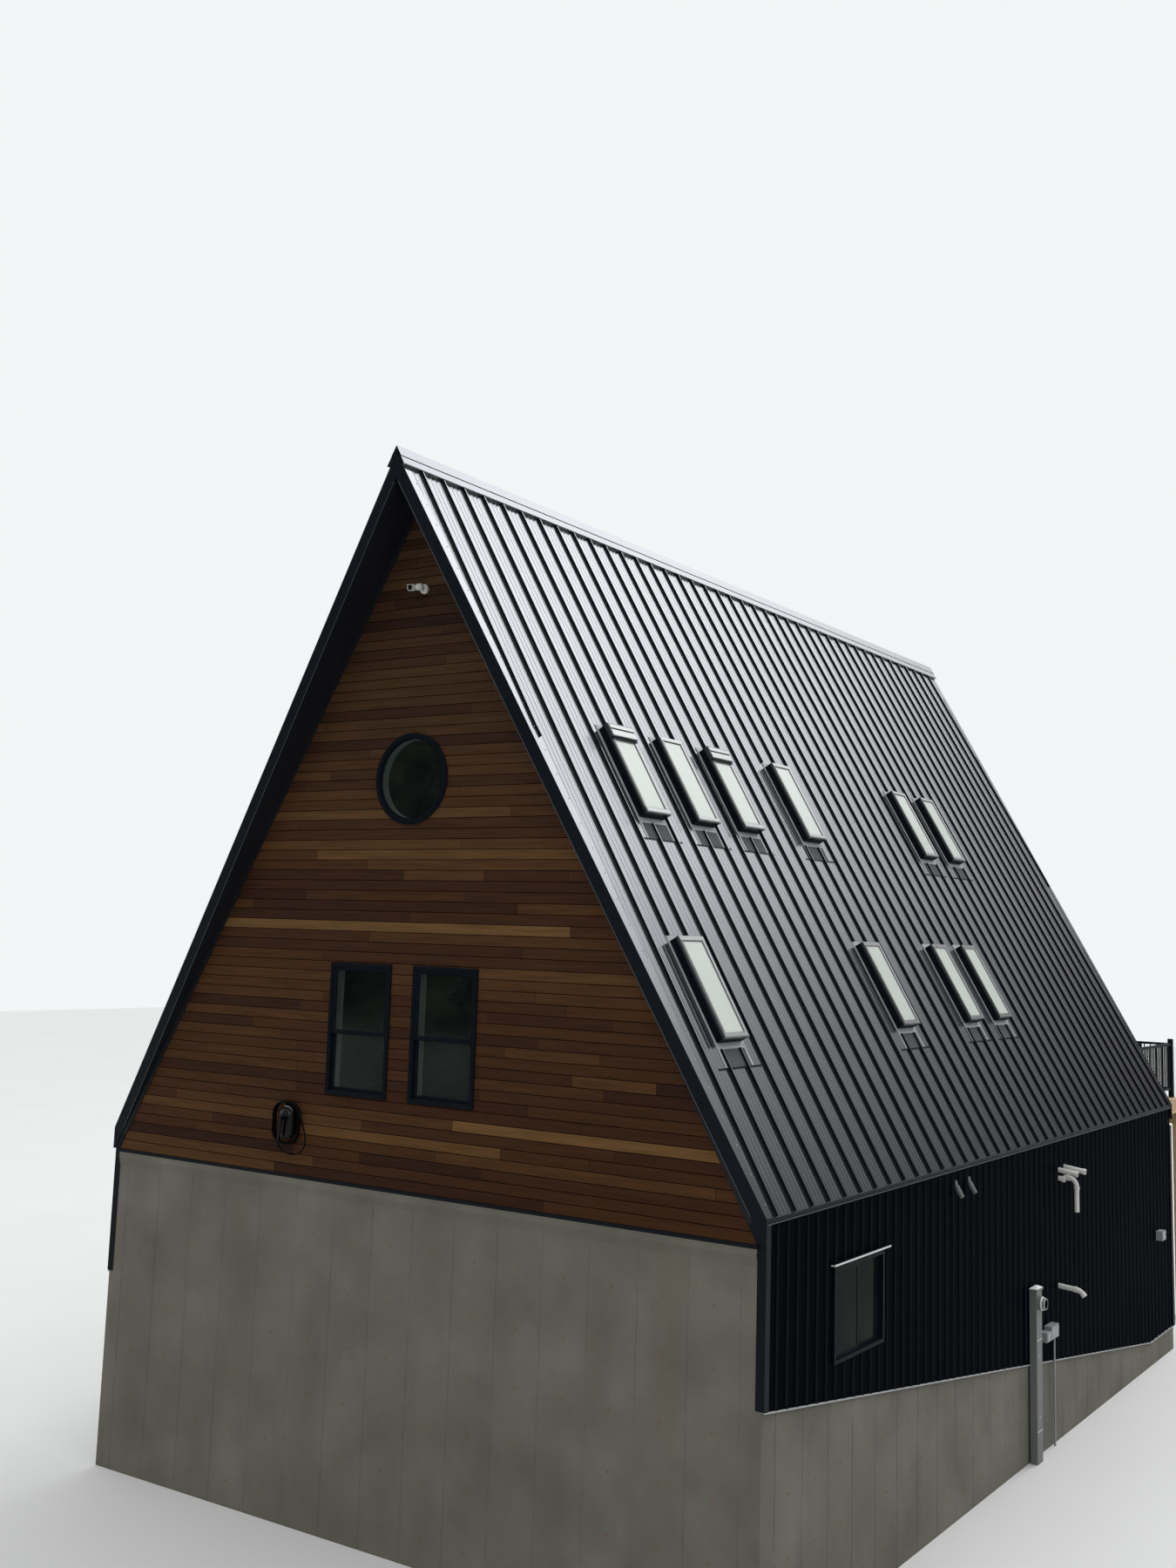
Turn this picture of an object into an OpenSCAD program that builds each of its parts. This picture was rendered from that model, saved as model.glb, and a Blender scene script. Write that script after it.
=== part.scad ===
// A-frame cabin: a steep metal roof on a lower storey, timber gables, skylights, rear deck.
// Millimetres, +Z up. The front gable faces -Y and the ridge runs along Y.
// Origin: middle of the front foundation wall's bottom face.

/* [Roof] */
// Half the roof's width at the eaves
roof_half_width = 4865; // [4600:5:5200]
// Slope of both roof planes in degrees
roof_pitch = 60; // [58:0.5:62]
// Length of the roof along its eaves
eave_length = 15930; // [15500:10:17000]
// How far the ridge leans out past the eave corners at each end
rake_lean = 545; // [300:5:700]
// Thickness of the whole roof build-up, square to the slope
roof_thickness = 155; // [120:5:200]
// Thickness of the metal roof panels
panel_thickness = 8; // [6:1:12]
// Distance between the standing seams
seam_pitch = 406.4; // [300:0.1:500]
// Height of a standing seam above the panels
seam_height = 32; // [20:1:40]
// Width of a standing seam
seam_width = 14; // [8:1:20]
// Width of the rake trim that lies on the roof
rake_flange = 130; // [80:5:160]

/* [Heights] */
// Height of the eaves above the bottom of the foundation
eave_height = 4250; // [4100:10:4600]
// Main floor level below the eaves
floor_drop = 60; // [20:5:100]
// Thickness of the main floor platform
platform_thickness = 270; // [200:5:320]
// Height of the loft floor's top above the eaves
loft_level = 2950; // [2600:10:3200]
// Thickness of the loft floor
loft_thickness = 250; // [180:5:300]
// Top of the lower floor slab above the foundation's bottom
slab_level = 550; // [450:10:700]

/* [Walls] */
// Thickness of the concrete foundation walls
foundation_thickness = 250; // [200:5:300]
// Thickness of the framed walls
framed_thickness = 150; // [120:5:200]
// Thickness of the front and rear boarding
boarding = 20; // [15:1:25]
// Depth of the ribs on the metal siding
siding_rib = 19; // [12:1:20]
// Distance between the ribs on the metal siding
siding_pitch = 228.6; // [150:0.1:305]
// Siding's bottom edge at the front, below the eaves
siding_drop = 1820; // [1750:10:1900]
// Siding's bottom edge at the rear, above the foundation's bottom
siding_rear = 405; // [350:5:480]

/* [Windows] */
// Width of a gable window
window_width = 962; // [800:2:1000]
// Height of a gable window
window_height = 1572; // [1400:2:1650]
// Sill of the gable windows above the eaves
window_sill = 743; // [650:1:850]
// Distance of a gable window's middle from the ridge line
window_offset = 650; // [600:1:750]
// Outer radius of the round window
round_radius = 551; // [450:1:600]
// Height of the round window's middle above the eaves
round_level = 4530; // [4450:5:4650]
// Width of a sliding window in the lower storey
slider_width = 1316; // [1100:2:1400]
// Height of a sliding window in the lower storey
slider_height = 1000; // [800:5:1100]
// Head of the sliding windows below the eaves
slider_head = 700; // [600:5:760]
// Distance of the rear sliding windows' middles from the ridge line
rear_slider_x = 2400; // [2000:10:3000]
// Left side of the rear door, right of the ridge line
door_x = 2150; // [1400:10:2200]
// Width of the rear door with its frame
door_width = 920; // [860:10:960]
// Height of the rear door with its frame
door_height = 2050; // [2000:10:2100]

/* [Skylights] */
// Width of a skylight
skylight_width = 540; // [480:2:600]
// Length of a skylight down the slope
skylight_length = 1220; // [1100:5:1300]
// Height of a skylight above the roof panels
skylight_height = 125; // [90:1:140]
// Upper row's top edge, measured down the slope from the ridge
upper_row = 3743; // [3600:1:3800]
// Lower row's top edge, measured down the slope from the ridge
lower_row = 6620; // [6400:1:6800]

/* [Deck] */
// Depth of the rear deck
deck_depth = 2640; // [2000:10:3200]
// How far the rear deck's sides lie inside the eaves
deck_inset = 465; // [365:5:1365]
// Height of the deck railing
railing_height = 1050; // [950:5:1150]

/* [Hidden] */
$fn = 64;

// roof geometry
slope_length = roof_half_width / cos(roof_pitch);
apex_z = eave_height + roof_half_width * tan(roof_pitch);
plumb_thickness = roof_thickness / cos(roof_pitch);
trim = 20;
wall_inset = 45;
wall_x = roof_half_width - wall_inset;
front_face = -foundation_thickness / 2;
gable_inset = 40;
front_eave = front_face - gable_inset;
rear_eave = front_eave + eave_length;
rear_face = rear_eave - gable_inset;
ridge_joint = 0.2;
plumb_end = 256;
middle_y = (front_eave + rear_eave) / 2;
flange_thickness = 5;
soffit_thickness = 10;
drip_inset = 12;
drip_rise = 3;

// how far shapes that are cut later run on past the eave, the ridge and the whole building,
// and how far a block that cuts an opening reaches to each side
past_eave = 400;
past_ridge = 300;
past_all = 1500;
cut = 400;

// heights
floor_top = eave_height - floor_drop;
platform_bottom = floor_top - platform_thickness;
slab_thickness = 150;
siding_gap = 60;
siding_top = eave_height - siding_gap;
siding_front = eave_height - siding_drop;
foundation_lap = 120;
front_wall_lap = 200;
siding_level_end = 1590;
siding_slope_end = rear_face - siding_level_end;
boarding_lap = 15;
boarding_bottom = platform_bottom - boarding_lap;
boarding_side = 70;
boarding_x = wall_x - boarding_side;
deck_step = 20;
deck_top = floor_top - deck_step;

// where fittings meet the right wall: the flat of the siding, and its ribs' tops
sheet = 6;
sheet_x = wall_x + sheet;
rib_x = sheet_x + siding_rib;
rib_foot = 22;
rib_top = 10;
rib_root = 3;
first_rib = 64.4;
corner_front = 95;
corner_side = 90;
corner_back = 120;
slider_y = 1632;

// the windows' frames, the meeting rail's middle above the sill, the sashes and the panes
frame_width = 45;
frame_out = 18;
frame_in = 90;
rail_level = 745;
rail_lap = 20;
sash = 40;
sash_depth = 30;
sash_front = front_face - 25;
pane_set = 9;
round_lip = 25;
round_ring = 60;
round_out = 22;
round_set = 4;
slider_frame = 40;
slider_out = 30;
slider_sash = 35;
slider_sash_depth = 25;
slider_set = 6;
slider_half = slider_width / 2 - 20;
slider_low = eave_height - slider_head - slider_height;

// the strip over a sliding window
head_out = 70;
head_in = 25;
head_side = 90;
head_rise = 25;
head_thickness = 14;

// the rear door's frame and its leaf
door_frame = 50;
leaf_in = 50;
leaf_out = 5;
leaf_stile = 110;
leaf_pane = 34;

// the rear deck; the roof's lean keeps the side railings this far from the wall
deck_half_width = roof_half_width - deck_inset;
deck_front = rear_face + boarding;
deck_back = deck_front + deck_depth;
railing_gap = 130;
deck_board = 38;
joist = 38;
joist_depth = 235;
joist_bays = 20;
joist_step = (2 * deck_half_width - joist) / joist_bays;
deck_post = 140;
post_bays = 3;
post_step = (2 * deck_half_width - deck_post) / post_bays;
beam_width = 76;
rail_inset = 100;
rail_post = 90;
rail_edge = deck_half_width - rail_inset;
rail_back = deck_back - rail_inset;
joist_bottom = deck_top - deck_board - joist_depth;
baluster = 19;
baluster_pitch = 110;
baluster_end = 20;
top_rail_width = 60;
top_rail_height = 45;
low_rail_width = 30;
low_rail_height = 40;
rail_low = 150;
rail_bite = 1;
rail_post_top = 80;

// the skylights' middles, as distances from the front eave corner
upper_skylights = [1490, 2715, 3905, 5800, 10090, 11320];
lower_skylights = [872, 5750, 8220, 9450];
seam_start = -195;
seam_count = 41;
seam_root = 4;
seam_end = 8;
flash_side = 45;
flash_head = 70;
flash_apron = 80;
flash_thickness = 5;
glass = 12;

// a skylight's curb, the lip of its frame, its pane, and the cover and bar of those that open
sky_curb = 60;
sky_lip = 6;
sky_lip_depth = 30;
sky_pane_inset = 54;
sky_pane_drop = 22;
vented = [0, 2];
hood = 28;
hood_length = 175;
bar_width = 66;
bar_height = 10;

// the ridge cap's right half: a cover strip, the cap and the closure under its edge
cap_edge = 205;
cap_strip = 75;
cap_rise = seam_height + 2;
cap_sheet = 6;
cap_foot = 190;
cap_closure = 90;
cap_end = 5;
panel_start = 40;
cap_right = [slope_point(cap_strip, cap_rise + 2 * cap_sheet), slope_point(cap_strip, cap_rise + cap_sheet),
             slope_point(cap_edge, cap_rise + cap_sheet), slope_point(cap_edge, cap_rise),
             slope_point(cap_foot, cap_rise), slope_point(cap_foot, 0),
             slope_point(cap_foot - cap_closure, 0), slope_point(cap_foot - cap_closure, cap_rise)];

// the charger on the front wall, left of the middle, and its cable
charger_x = -1642;
charger_low = eave_height + 180;
charger_width = 216;
charger_height = 390;
cover_corner = 90;
core_width = 170;
core_corner = 30;
core_back = front_face - boarding;
core_front = core_back - 100;
cover_front = core_front - 33;
core_low = charger_low + 40;
core_top = charger_low + charger_height - 25;
cable = 9;
coil_x = -1702;
coil_low = eave_height + 99;
coil_width = 428;
coil_height = 509;
coil_corner = 170;
coil_top = coil_low + coil_height - 2 * cable;
coil_back = core_back - 6;
coil_front = coil_back - 87;
hook = 22;
gland = 14;
gland_in = 5;
lead_bend = 82;
lead_y = core_back - 15;
lead_top = coil_low + cable + lead_bend;
// the lead's route, from the gland down and round into the coil's first turn
lead_route = [for (a = [0 : 18 : 90])
              [charger_x - lead_bend + lead_bend * cos(a), lead_y, lead_top - lead_bend * sin(a)]];
// the loop's route, from the coil's last turn down, along and up into the connector,
// as distances right of the ridge line, from the front wall's boarding and above the eaves
loop_points = [[-1543, -83, 554], [-1478, -88, 506], [-1421, -94, 436], [-1376, -99, 346],
               [-1341, -101, 262], [-1322, -102, 176], [-1338, -103, 98], [-1392, -105, 38],
               [-1470, -107, 8], [-1556, -112, 0], [-1638, -126, 20], [-1694, -147, 68],
               [-1715, -165, 126]];
loop_route = [for (q = loop_points) [q[0], core_back + q[1], eave_height + q[2]]];
loop_end = loop_route[len(loop_route) - 1];
tube_sides = 10;
// the connector's grip and head from the loop's end, and the radii of its three lengths
grip_step = [14, -8, 60];
head_step = [44, -12, 290];
boot = 13;
handle = 19;
nose = 27;

// the security camera under the ridge: its place, and the ends of its base, arm and body from there
camera_drop = 1576;
camera_place = [0, core_back, apex_z - camera_drop];
camera_base = [[70, 0, -4], [70, -32, -4]];
camera_arm = [[70, -20, -4], [45, -95, 4]];
camera_body = [[95, -72, 14], [-80, -158, -4]];

// the pipes, vents and service pieces on the right wall, Y from the front eave corner
pipe = 36;
pipe_wall = 5;
pipe_socket = 42;
pipe_socket_length = 45;
pipe_bend_radius = 120;
pipe_root = 20;
pipe_fall = 8;
bore_start = 60;
hub_out = 40;
hub_in = 8;
high_pipes = [[9650, -465, 330], [9390, -483, 290], [9390, -602, 100]];
bend_pipe = [9650, -620, 190, 480];
low_pipe = [9340, -2120, 270];
low_pipe_fall = 5;
low_pipe_turn = 45;
low_pipe_mouth = 60;
vent_places = [5192, 5649];
vent_drop = 215;
vent = 28;
vent_length = 215;
vent_tilt = 150;
vent_collar = 35;
vent_collar_depth = 22;
post_y = 7970;
post_width = 230;
post_depth = 100;
post_drop = 1970;
post_cap = 15;
post_cap_height = 30;
post_cap_point = 32;
meter_drop = 2140;
meter_base = 92;
meter_base_depth = 45;
meter_glass = 78;
meter_depth = 100;
// boxes on the right wall: Y from the front eave corner, drop below the eaves, width, height
service_sizes = [[post_y + 630, 2730, 320, 180], [post_y + 425, 2730, 200, 130],
                 [14743, 2230, 230, 160]];
box_depth = 105;
conduit = 15;
conduit_gap = 5;
conduit_elbow = 20;
conduit_y = post_y + 1015;

// height of the siding's bottom edge at a place along the building
function siding_bottom(y) = siding_front + (siding_rear - siding_front)
    * min(1, max(0, (y - front_eave) / (siding_slope_end - front_eave)));
// the rake lines in the roof's own plane, s measured down the slope
function rake_front(s) = front_eave - rake_lean * max(0, 1 - s / slope_length);
function rake_rear(s) = rear_eave + rake_lean * max(0, 1 - s / slope_length);
// X and Z of a point s down the right slope and n above it, and of one over the ridge
function slope_point(s, n) = [s * cos(roof_pitch) + n * sin(roof_pitch),
                              apex_z - s * sin(roof_pitch) + n * cos(roof_pitch)];
function over_ridge(n) = [0, apex_z + n / cos(roof_pitch)];

// draws a profile of X and Z along Y
module along_y(y0, y1) {
    translate([0, y1, 0])
        rotate([90, 0, 0])
            linear_extrude(height = y1 - y0)
                children();
}

// draws a profile of Y and Z along X
module along_x(x0, x1) {
    translate([x0, 0, 0])
        rotate([90, 0, 90])
            linear_extrude(height = x1 - x0)
                children();
}

// lays its children on the right slope: X down the slope, Z square to it
module on_slope() {
    translate([0, 0, apex_z])
        rotate([0, roof_pitch, 0])
            children();
}

// makes a piece and its twin on the other side of the ridge
module both_sides() {
    children();
    mirror([1, 0, 0])
        children();
}

// turns a front piece into the matching rear piece
module at_rear() {
    translate([0, 2 * middle_y, 0])
        mirror([0, 1, 0])
            children();
}

// the roof's outline in its own plane
module roof_plan(s0, s1, inset) {
    polygon([[s0, rake_front(s0) + inset], [s1, rake_front(s1) + inset],
             [s1, rake_rear(s1) - inset], [s0, rake_rear(s0) - inset]]);
}

// the same outline, run on past the eave for the pieces that are cut plumb there
module roof_plan_past_eave(inset) {
    near = -past_ridge;
    far = slope_length + past_eave;
    polygon([[near, rake_front(near) + inset], [slope_length, front_eave + inset],
             [far, front_eave + inset], [far, rear_eave - inset],
             [slope_length, rear_eave - inset], [near, rake_rear(near) - inset]]);
}

// keeps what lies between two distances right of the ridge line and above a level
module right_half(x0, x1, z0) {
    intersection() {
        along_y(front_eave - past_all, rear_eave + past_all)
            polygon([[x0, z0], [x1, z0], [x1, apex_z + past_ridge], [x0, apex_z + past_ridge]]);
        children();
    }
}

// puts its children at every skylight, on the right slope
module at_skylights() {
    on_slope() {
        for (y = upper_skylights)
            translate([upper_row, front_eave + y, 0])
                children();
        for (y = lower_skylights)
            translate([lower_row, front_eave + y, 0])
                children();
    }
}

// a block that starts at a skylight's head and is centred on its width
module skylight_block(s0, s1, width, n0, n1) {
    translate([s0, -width / 2, n0])
        cube([s1 - s0, width, n1 - n0]);
}

module foundation() {
    color("silver") {
        difference() {
            along_x(-wall_x, wall_x)
                polygon([[front_face, 0], [rear_face, 0],
                         [rear_face, siding_rear + foundation_lap],
                         [siding_slope_end, siding_rear + foundation_lap],
                         [front_face, siding_bottom(front_face) + foundation_lap]]);
            translate([-wall_x + foundation_thickness, -front_face, -1])
                cube([2 * (wall_x - foundation_thickness),
                      rear_face - foundation_thickness + front_face,
                      eave_height]);
        }
        translate([-wall_x, front_face, siding_front - front_wall_lap])
            cube([2 * wall_x, foundation_thickness,
                  platform_bottom - siding_front + front_wall_lap]);
    }
}

module lower_floor() {
    color("gray")
        translate([-wall_x + foundation_thickness, -front_face, slab_level - slab_thickness])
            cube([2 * (wall_x - foundation_thickness),
                  rear_face - foundation_thickness + front_face, slab_thickness]);
}

// a sliding window's place in the right wall, as a block across the wall
module slider_opening() {
    translate([wall_x - cut, front_eave + slider_y, slider_low])
        cube([2 * cut, slider_width, slider_height]);
}

module side_walls() {
    color("burlywood")
        both_sides()
            difference() {
                along_x(wall_x - framed_thickness, wall_x)
                    polygon([[-front_face, siding_bottom(-front_face) + foundation_lap],
                             [siding_slope_end, siding_rear + foundation_lap],
                             [rear_face, siding_rear + foundation_lap],
                             [rear_face, platform_bottom],
                             [-front_face, platform_bottom]]);
                slider_opening();
            }
}

// the ribs of the right side's metal siding, between two places along it
module siding_ribs(y0, y1) {
    for (y = [y0 : siding_pitch : y1])
        linear_extrude(height = eave_height)
            polygon([[sheet_x - rib_root, y - rib_foot], [sheet_x, y - rib_foot],
                     [rib_x, y - rib_top], [rib_x, y + rib_top],
                     [sheet_x, y + rib_foot], [sheet_x - rib_root, y + rib_foot]]);
}

module lower_siding() {
    color("dimgray") {
        both_sides()
            difference() {
                intersection() {
                    along_x(wall_x, rib_x + trim)
                        polygon([[front_face, siding_bottom(front_face)],
                                 [siding_slope_end, siding_rear],
                                 [rear_face, siding_rear],
                                 [rear_face, siding_top],
                                 [front_face, siding_top]]);
                    union() {
                        translate([wall_x, front_face, 0])
                            cube([sheet, rear_face - front_face, eave_height]);
                        siding_ribs(front_face + first_rib, rear_face - corner_side - rib_foot - sheet);
                    }
                }
                slider_opening();
            }
        rear_sheet();
    }
}

// the two sliding windows of the rear lower wall
module rear_slider_openings() {
    for (side = [-1, 1])
        translate([side * rear_slider_x - slider_width / 2, rear_face - cut, slider_low])
            cube([slider_width, 2 * cut, slider_height]);
}

module rear_lower_wall() {
    color("burlywood")
        difference() {
            translate([-wall_x + framed_thickness, rear_face - framed_thickness,
                       siding_rear + foundation_lap])
                cube([2 * (wall_x - framed_thickness), framed_thickness,
                      platform_bottom - siding_rear - foundation_lap]);
            rear_slider_openings();
        }
}

// the ribbed metal sheet on the rear lower wall
module rear_sheet() {
    top = boarding_bottom - trim;
    last = floor((wall_x - corner_back - rib_foot) / siding_pitch) * siding_pitch;
    difference() {
        union() {
            translate([-wall_x, rear_face, siding_rear])
                cube([2 * wall_x, sheet, top - siding_rear]);
            for (x = [-last : siding_pitch : last])
                translate([x, rear_face + sheet, siding_rear])
                    linear_extrude(height = top - siding_rear)
                        polygon([[-rib_foot, -rib_root], [rib_foot, -rib_root], [rib_foot, 0],
                                 [rib_top, siding_rib], [-rib_top, siding_rib], [-rib_foot, 0]]);
        }
        rear_slider_openings();
    }
}

module wall_trims() {
    out = rib_x + sheet;
    back = rear_face + sheet + siding_rib;
    low_top = boarding_bottom - trim;
    color("black") {
        both_sides() {
            translate([0, 0, siding_front])
                linear_extrude(height = siding_top - siding_front)
                    polygon([[out, front_face - sheet], [out, front_face + corner_side],
                             [rib_x, front_face + corner_side], [rib_x, front_face],
                             [rib_x - corner_front, front_face], [rib_x - corner_front, front_face - sheet]]);
            translate([0, 0, siding_rear])
                linear_extrude(height = low_top - siding_rear)
                    polygon([[sheet_x, rear_face - corner_side], [out, rear_face - corner_side],
                             [out, back + sheet], [rib_x - corner_back, back + sheet],
                             [rib_x - corner_back, rear_face + sheet],
                             [rib_x - corner_back + sheet, rear_face + sheet],
                             [rib_x - corner_back + sheet, back], [rib_x, back],
                             [rib_x, rear_face - corner_side + sheet],
                             [sheet_x, rear_face - corner_side + sheet]]);
        }
        translate([-boarding_x, front_face - boarding - sheet, low_top])
            cube([2 * boarding_x, boarding + sheet, trim]);
        translate([-wall_x, rear_face, low_top])
            cube([2 * wall_x, boarding, trim]);
    }
}

module main_floor() {
    color("tan")
        translate([-wall_x, front_face, platform_bottom])
            cube([2 * wall_x, rear_face - front_face, platform_thickness]);
}

// half the width under the roof's underside at a height above the eaves
function under_roof(z) = roof_half_width - (z + plumb_thickness) / tan(roof_pitch);

module loft_floor() {
    low = loft_level - loft_thickness;
    color("tan")
        along_y(front_face + framed_thickness, rear_face - framed_thickness)
            polygon([[-under_roof(low), eave_height + low],
                     [under_roof(low), eave_height + low],
                     [under_roof(loft_level), eave_height + loft_level],
                     [-under_roof(loft_level), eave_height + loft_level]]);
}

// the triangle under the roof's underside
module gable_outline() {
    polygon([[-under_roof(-floor_drop), floor_top], [under_roof(-floor_drop), floor_top],
             [0, apex_z - plumb_thickness]]);
}

module window_holes() {
    for (side = [-1, 1])
        translate([side * window_offset - window_width / 2, eave_height + window_sill])
            square([window_width, window_height]);
    translate([0, eave_height + round_level])
        circle(r = round_radius - round_lip);
}

module door_hole() {
    translate([door_x, floor_top])
        square([door_width, door_height]);
}

module front_gable_wall() {
    color("burlywood")
        along_y(front_face, front_face + framed_thickness)
            difference() {
                gable_outline();
                window_holes();
            }
}

module boarding_outline() {
    gable_outline();
    translate([-boarding_x, boarding_bottom])
        square([2 * boarding_x, floor_top - boarding_bottom]);
}

module front_boarding() {
    color("peru")
        along_y(front_face - boarding, front_face)
            difference() {
                boarding_outline();
                window_holes();
            }
}

module rear_gable_wall() {
    color("burlywood")
        along_y(rear_face - framed_thickness, rear_face)
            difference() {
                gable_outline();
                window_holes();
                door_hole();
            }
}

module rear_boarding() {
    color("peru")
        along_y(rear_face, rear_face + boarding)
            difference() {
                boarding_outline();
                window_holes();
                door_hole();
            }
}

module roof_decks() {
    color("burlywood")
        both_sides()
            difference() {
                right_half(ridge_joint, wall_x, floor_top)
                    on_slope()
                        translate([0, 0, -roof_thickness])
                            linear_extrude(height = roof_thickness - panel_thickness)
                                roof_plan_past_eave(trim);
                at_skylights()
                    skylight_block(sky_curb, skylight_length - sky_curb,
                                   skylight_width - 2 * sky_curb, -cut, cut);
            }
}

module roof_metal() {
    color("dimgray")
        both_sides()
            difference() {
                union() {
                    on_slope()
                        translate([0, 0, -panel_thickness])
                            linear_extrude(height = panel_thickness)
                                roof_plan(panel_start, slope_length, trim);
                    on_slope()
                        roof_seams();
                }
                at_skylights()
                    skylight_block(0, skylight_length, skylight_width, -cut, cut);
                at_skylights()
                    skylight_block(-flash_head, skylight_length + flash_apron,
                                   skylight_width + 2 * flash_side, 0, cut);
            }
}

// the standing seams of one slope, cut off along the rake trims
module roof_seams() {
    intersection() {
        translate([0, 0, -seam_root])
            linear_extrude(height = seam_height + seam_root)
                roof_plan(cap_foot, slope_length - seam_end, rake_flange);
        for (i = [0 : seam_count - 1])
            translate([cap_foot, front_eave + seam_start + i * seam_pitch - seam_width / 2, -seam_root])
                cube([slope_length, seam_width, seam_height + seam_root]);
    }
}

module ridge_cap() {
    color("dimgray")
        along_y(front_eave - rake_lean - cap_end, rear_eave + rake_lean + cap_end)
            polygon(concat([over_ridge(cap_rise + 2 * cap_sheet)], cap_right, [over_ridge(cap_rise)],
                           [for (i = [len(cap_right) - 1 : -1 : 0]) [-cap_right[i][0], cap_right[i][1]]]));
}

// the band that closes the roof's end: a fascia and a flange on the roof
module rake_band() {
    near = -past_ridge;
    far = slope_length + past_eave;
    right_half(0, roof_half_width, eave_height - plumb_end)
        on_slope() {
            translate([0, 0, -roof_thickness])
                linear_extrude(height = roof_thickness)
                    polygon([[near, rake_front(near)], [slope_length, front_eave],
                             [far, front_eave], [far, front_eave + trim],
                             [slope_length, front_eave + trim],
                             [near, rake_front(near) + trim]]);
            linear_extrude(height = flange_thickness)
                polygon([[cap_edge, rake_front(cap_edge)], [slope_length, front_eave],
                         [slope_length, front_eave + rake_flange],
                         [cap_edge, rake_front(cap_edge) + rake_flange]]);
        }
}

module rake_trims() {
    color("black") {
        both_sides()
            rake_band();
        at_rear()
            both_sides()
                rake_band();
    }
}

// the dark lining under the roof's overhang at one end
module soffit_pair() {
    near = -past_ridge;
    both_sides()
        right_half(0, roof_half_width, floor_top)
            on_slope()
                translate([0, 0, -roof_thickness - soffit_thickness])
                    linear_extrude(height = soffit_thickness)
                        polygon([[near, rake_front(near) + trim],
                                 [slope_length, front_face - boarding],
                                 [near, front_face - boarding]]);
}

module soffits() {
    color("dimgray") {
        soffit_pair();
        at_rear()
            soffit_pair();
    }
}

module eave_flashings() {
    outer = roof_half_width - drip_inset;
    under_panels = eave_height + wall_inset * tan(roof_pitch) - panel_thickness / cos(roof_pitch);
    color("black")
        both_sides()
            along_y(front_eave + trim, rear_eave - trim)
                polygon([[wall_x, siding_top], [outer, siding_top],
                         [outer, eave_height + drip_rise], [wall_x, under_panels]]);
}

module skylight_ring(n0, n1, outset, width) {
    difference() {
        skylight_block(-outset, skylight_length + outset, skylight_width + 2 * outset, n0, n1);
        skylight_block(width - outset, skylight_length + outset - width,
                       skylight_width + 2 * outset - 2 * width, n0 - 1, n1 + 1);
    }
}

// the raised cover at the head of a skylight that opens
module skylight_hoods() {
    on_slope()
        for (i = vented)
            translate([upper_row, front_eave + upper_skylights[i], 0]) {
                skylight_block(-2 * sky_lip, hood_length, skylight_width + 3 * sky_lip,
                               skylight_height, skylight_height + hood);
                skylight_block(skylight_length - bar_width, skylight_length + sky_lip,
                               skylight_width + 2 * sky_lip,
                               skylight_height, skylight_height + bar_height);
            }
}

module skylight_frames() {
    color("dimgray")
        both_sides() {
            at_skylights() {
                skylight_ring(-panel_thickness, skylight_height - sky_lip_depth, 0, sky_curb);
                skylight_ring(skylight_height - sky_lip_depth, skylight_height, sky_lip, sky_curb);
            }
            skylight_hoods();
        }
}

module skylight_glass() {
    color("lightblue")
        both_sides()
            at_skylights()
                skylight_block(sky_pane_inset, skylight_length - sky_pane_inset,
                               skylight_width - 2 * sky_pane_inset,
                               skylight_height - sky_pane_drop, skylight_height - sky_pane_drop + glass);
}

module skylight_flashings() {
    color("dimgray")
        both_sides()
            at_skylights()
                difference() {
                    skylight_block(-flash_head, skylight_length + flash_apron,
                                   skylight_width + 2 * flash_side, 0, flash_thickness);
                    skylight_block(0, skylight_length, skylight_width, -cut, cut);
                }
}

// a flat ring of X and Z, given its outer size and width
module ring(w, h, t) {
    difference() {
        square([w, h]);
        translate([t, t])
            square([w - 2 * t, h - 2 * t]);
    }
}

module gable_windows_at(y_mirror) {
    if (y_mirror)
        at_rear()
            for (side = [-1, 1])
                translate([side * window_offset - window_width / 2, 0, eave_height + window_sill])
                    children();
    else
        for (side = [-1, 1])
            translate([side * window_offset - window_width / 2, 0, eave_height + window_sill])
                children();
}

module gable_window_frames() {
    color("black")
        for (rear = [false, true])
            gable_windows_at(rear)
                along_y(front_face - boarding - frame_out, front_face + frame_in)
                    ring(window_width, window_height, frame_width);
}

module gable_sash_pair() {
    inner_w = window_width - 2 * frame_width;
    top_h = window_height - frame_width - rail_level + rail_lap;
    low_h = rail_level - frame_width + rail_lap;
    along_y(sash_front, sash_front + sash_depth)
        translate([frame_width, rail_level - rail_lap])
            ring(inner_w, top_h, sash);
    along_y(sash_front + sash_depth, sash_front + 2 * sash_depth)
        translate([frame_width, frame_width])
            ring(inner_w, low_h, sash);
}

module window_sashes() {
    color("black") {
        for (rear = [false, true])
            gable_windows_at(rear)
                gable_sash_pair();
        at_sliders()
            slider_sash_pair();
    }
}

module gable_pane_pair() {
    inner_w = window_width - 2 * frame_width - 2 * sash;
    top_h = window_height - frame_width - rail_level + rail_lap - 2 * sash;
    low_h = rail_level - frame_width + rail_lap - 2 * sash;
    upper = sash_front + pane_set;
    lower = upper + sash_depth;
    along_y(upper, upper + glass)
        translate([frame_width + sash, rail_level - rail_lap + sash])
            square([inner_w, top_h]);
    along_y(lower, lower + glass)
        translate([frame_width + sash, frame_width + sash])
            square([inner_w, low_h]);
}

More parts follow.
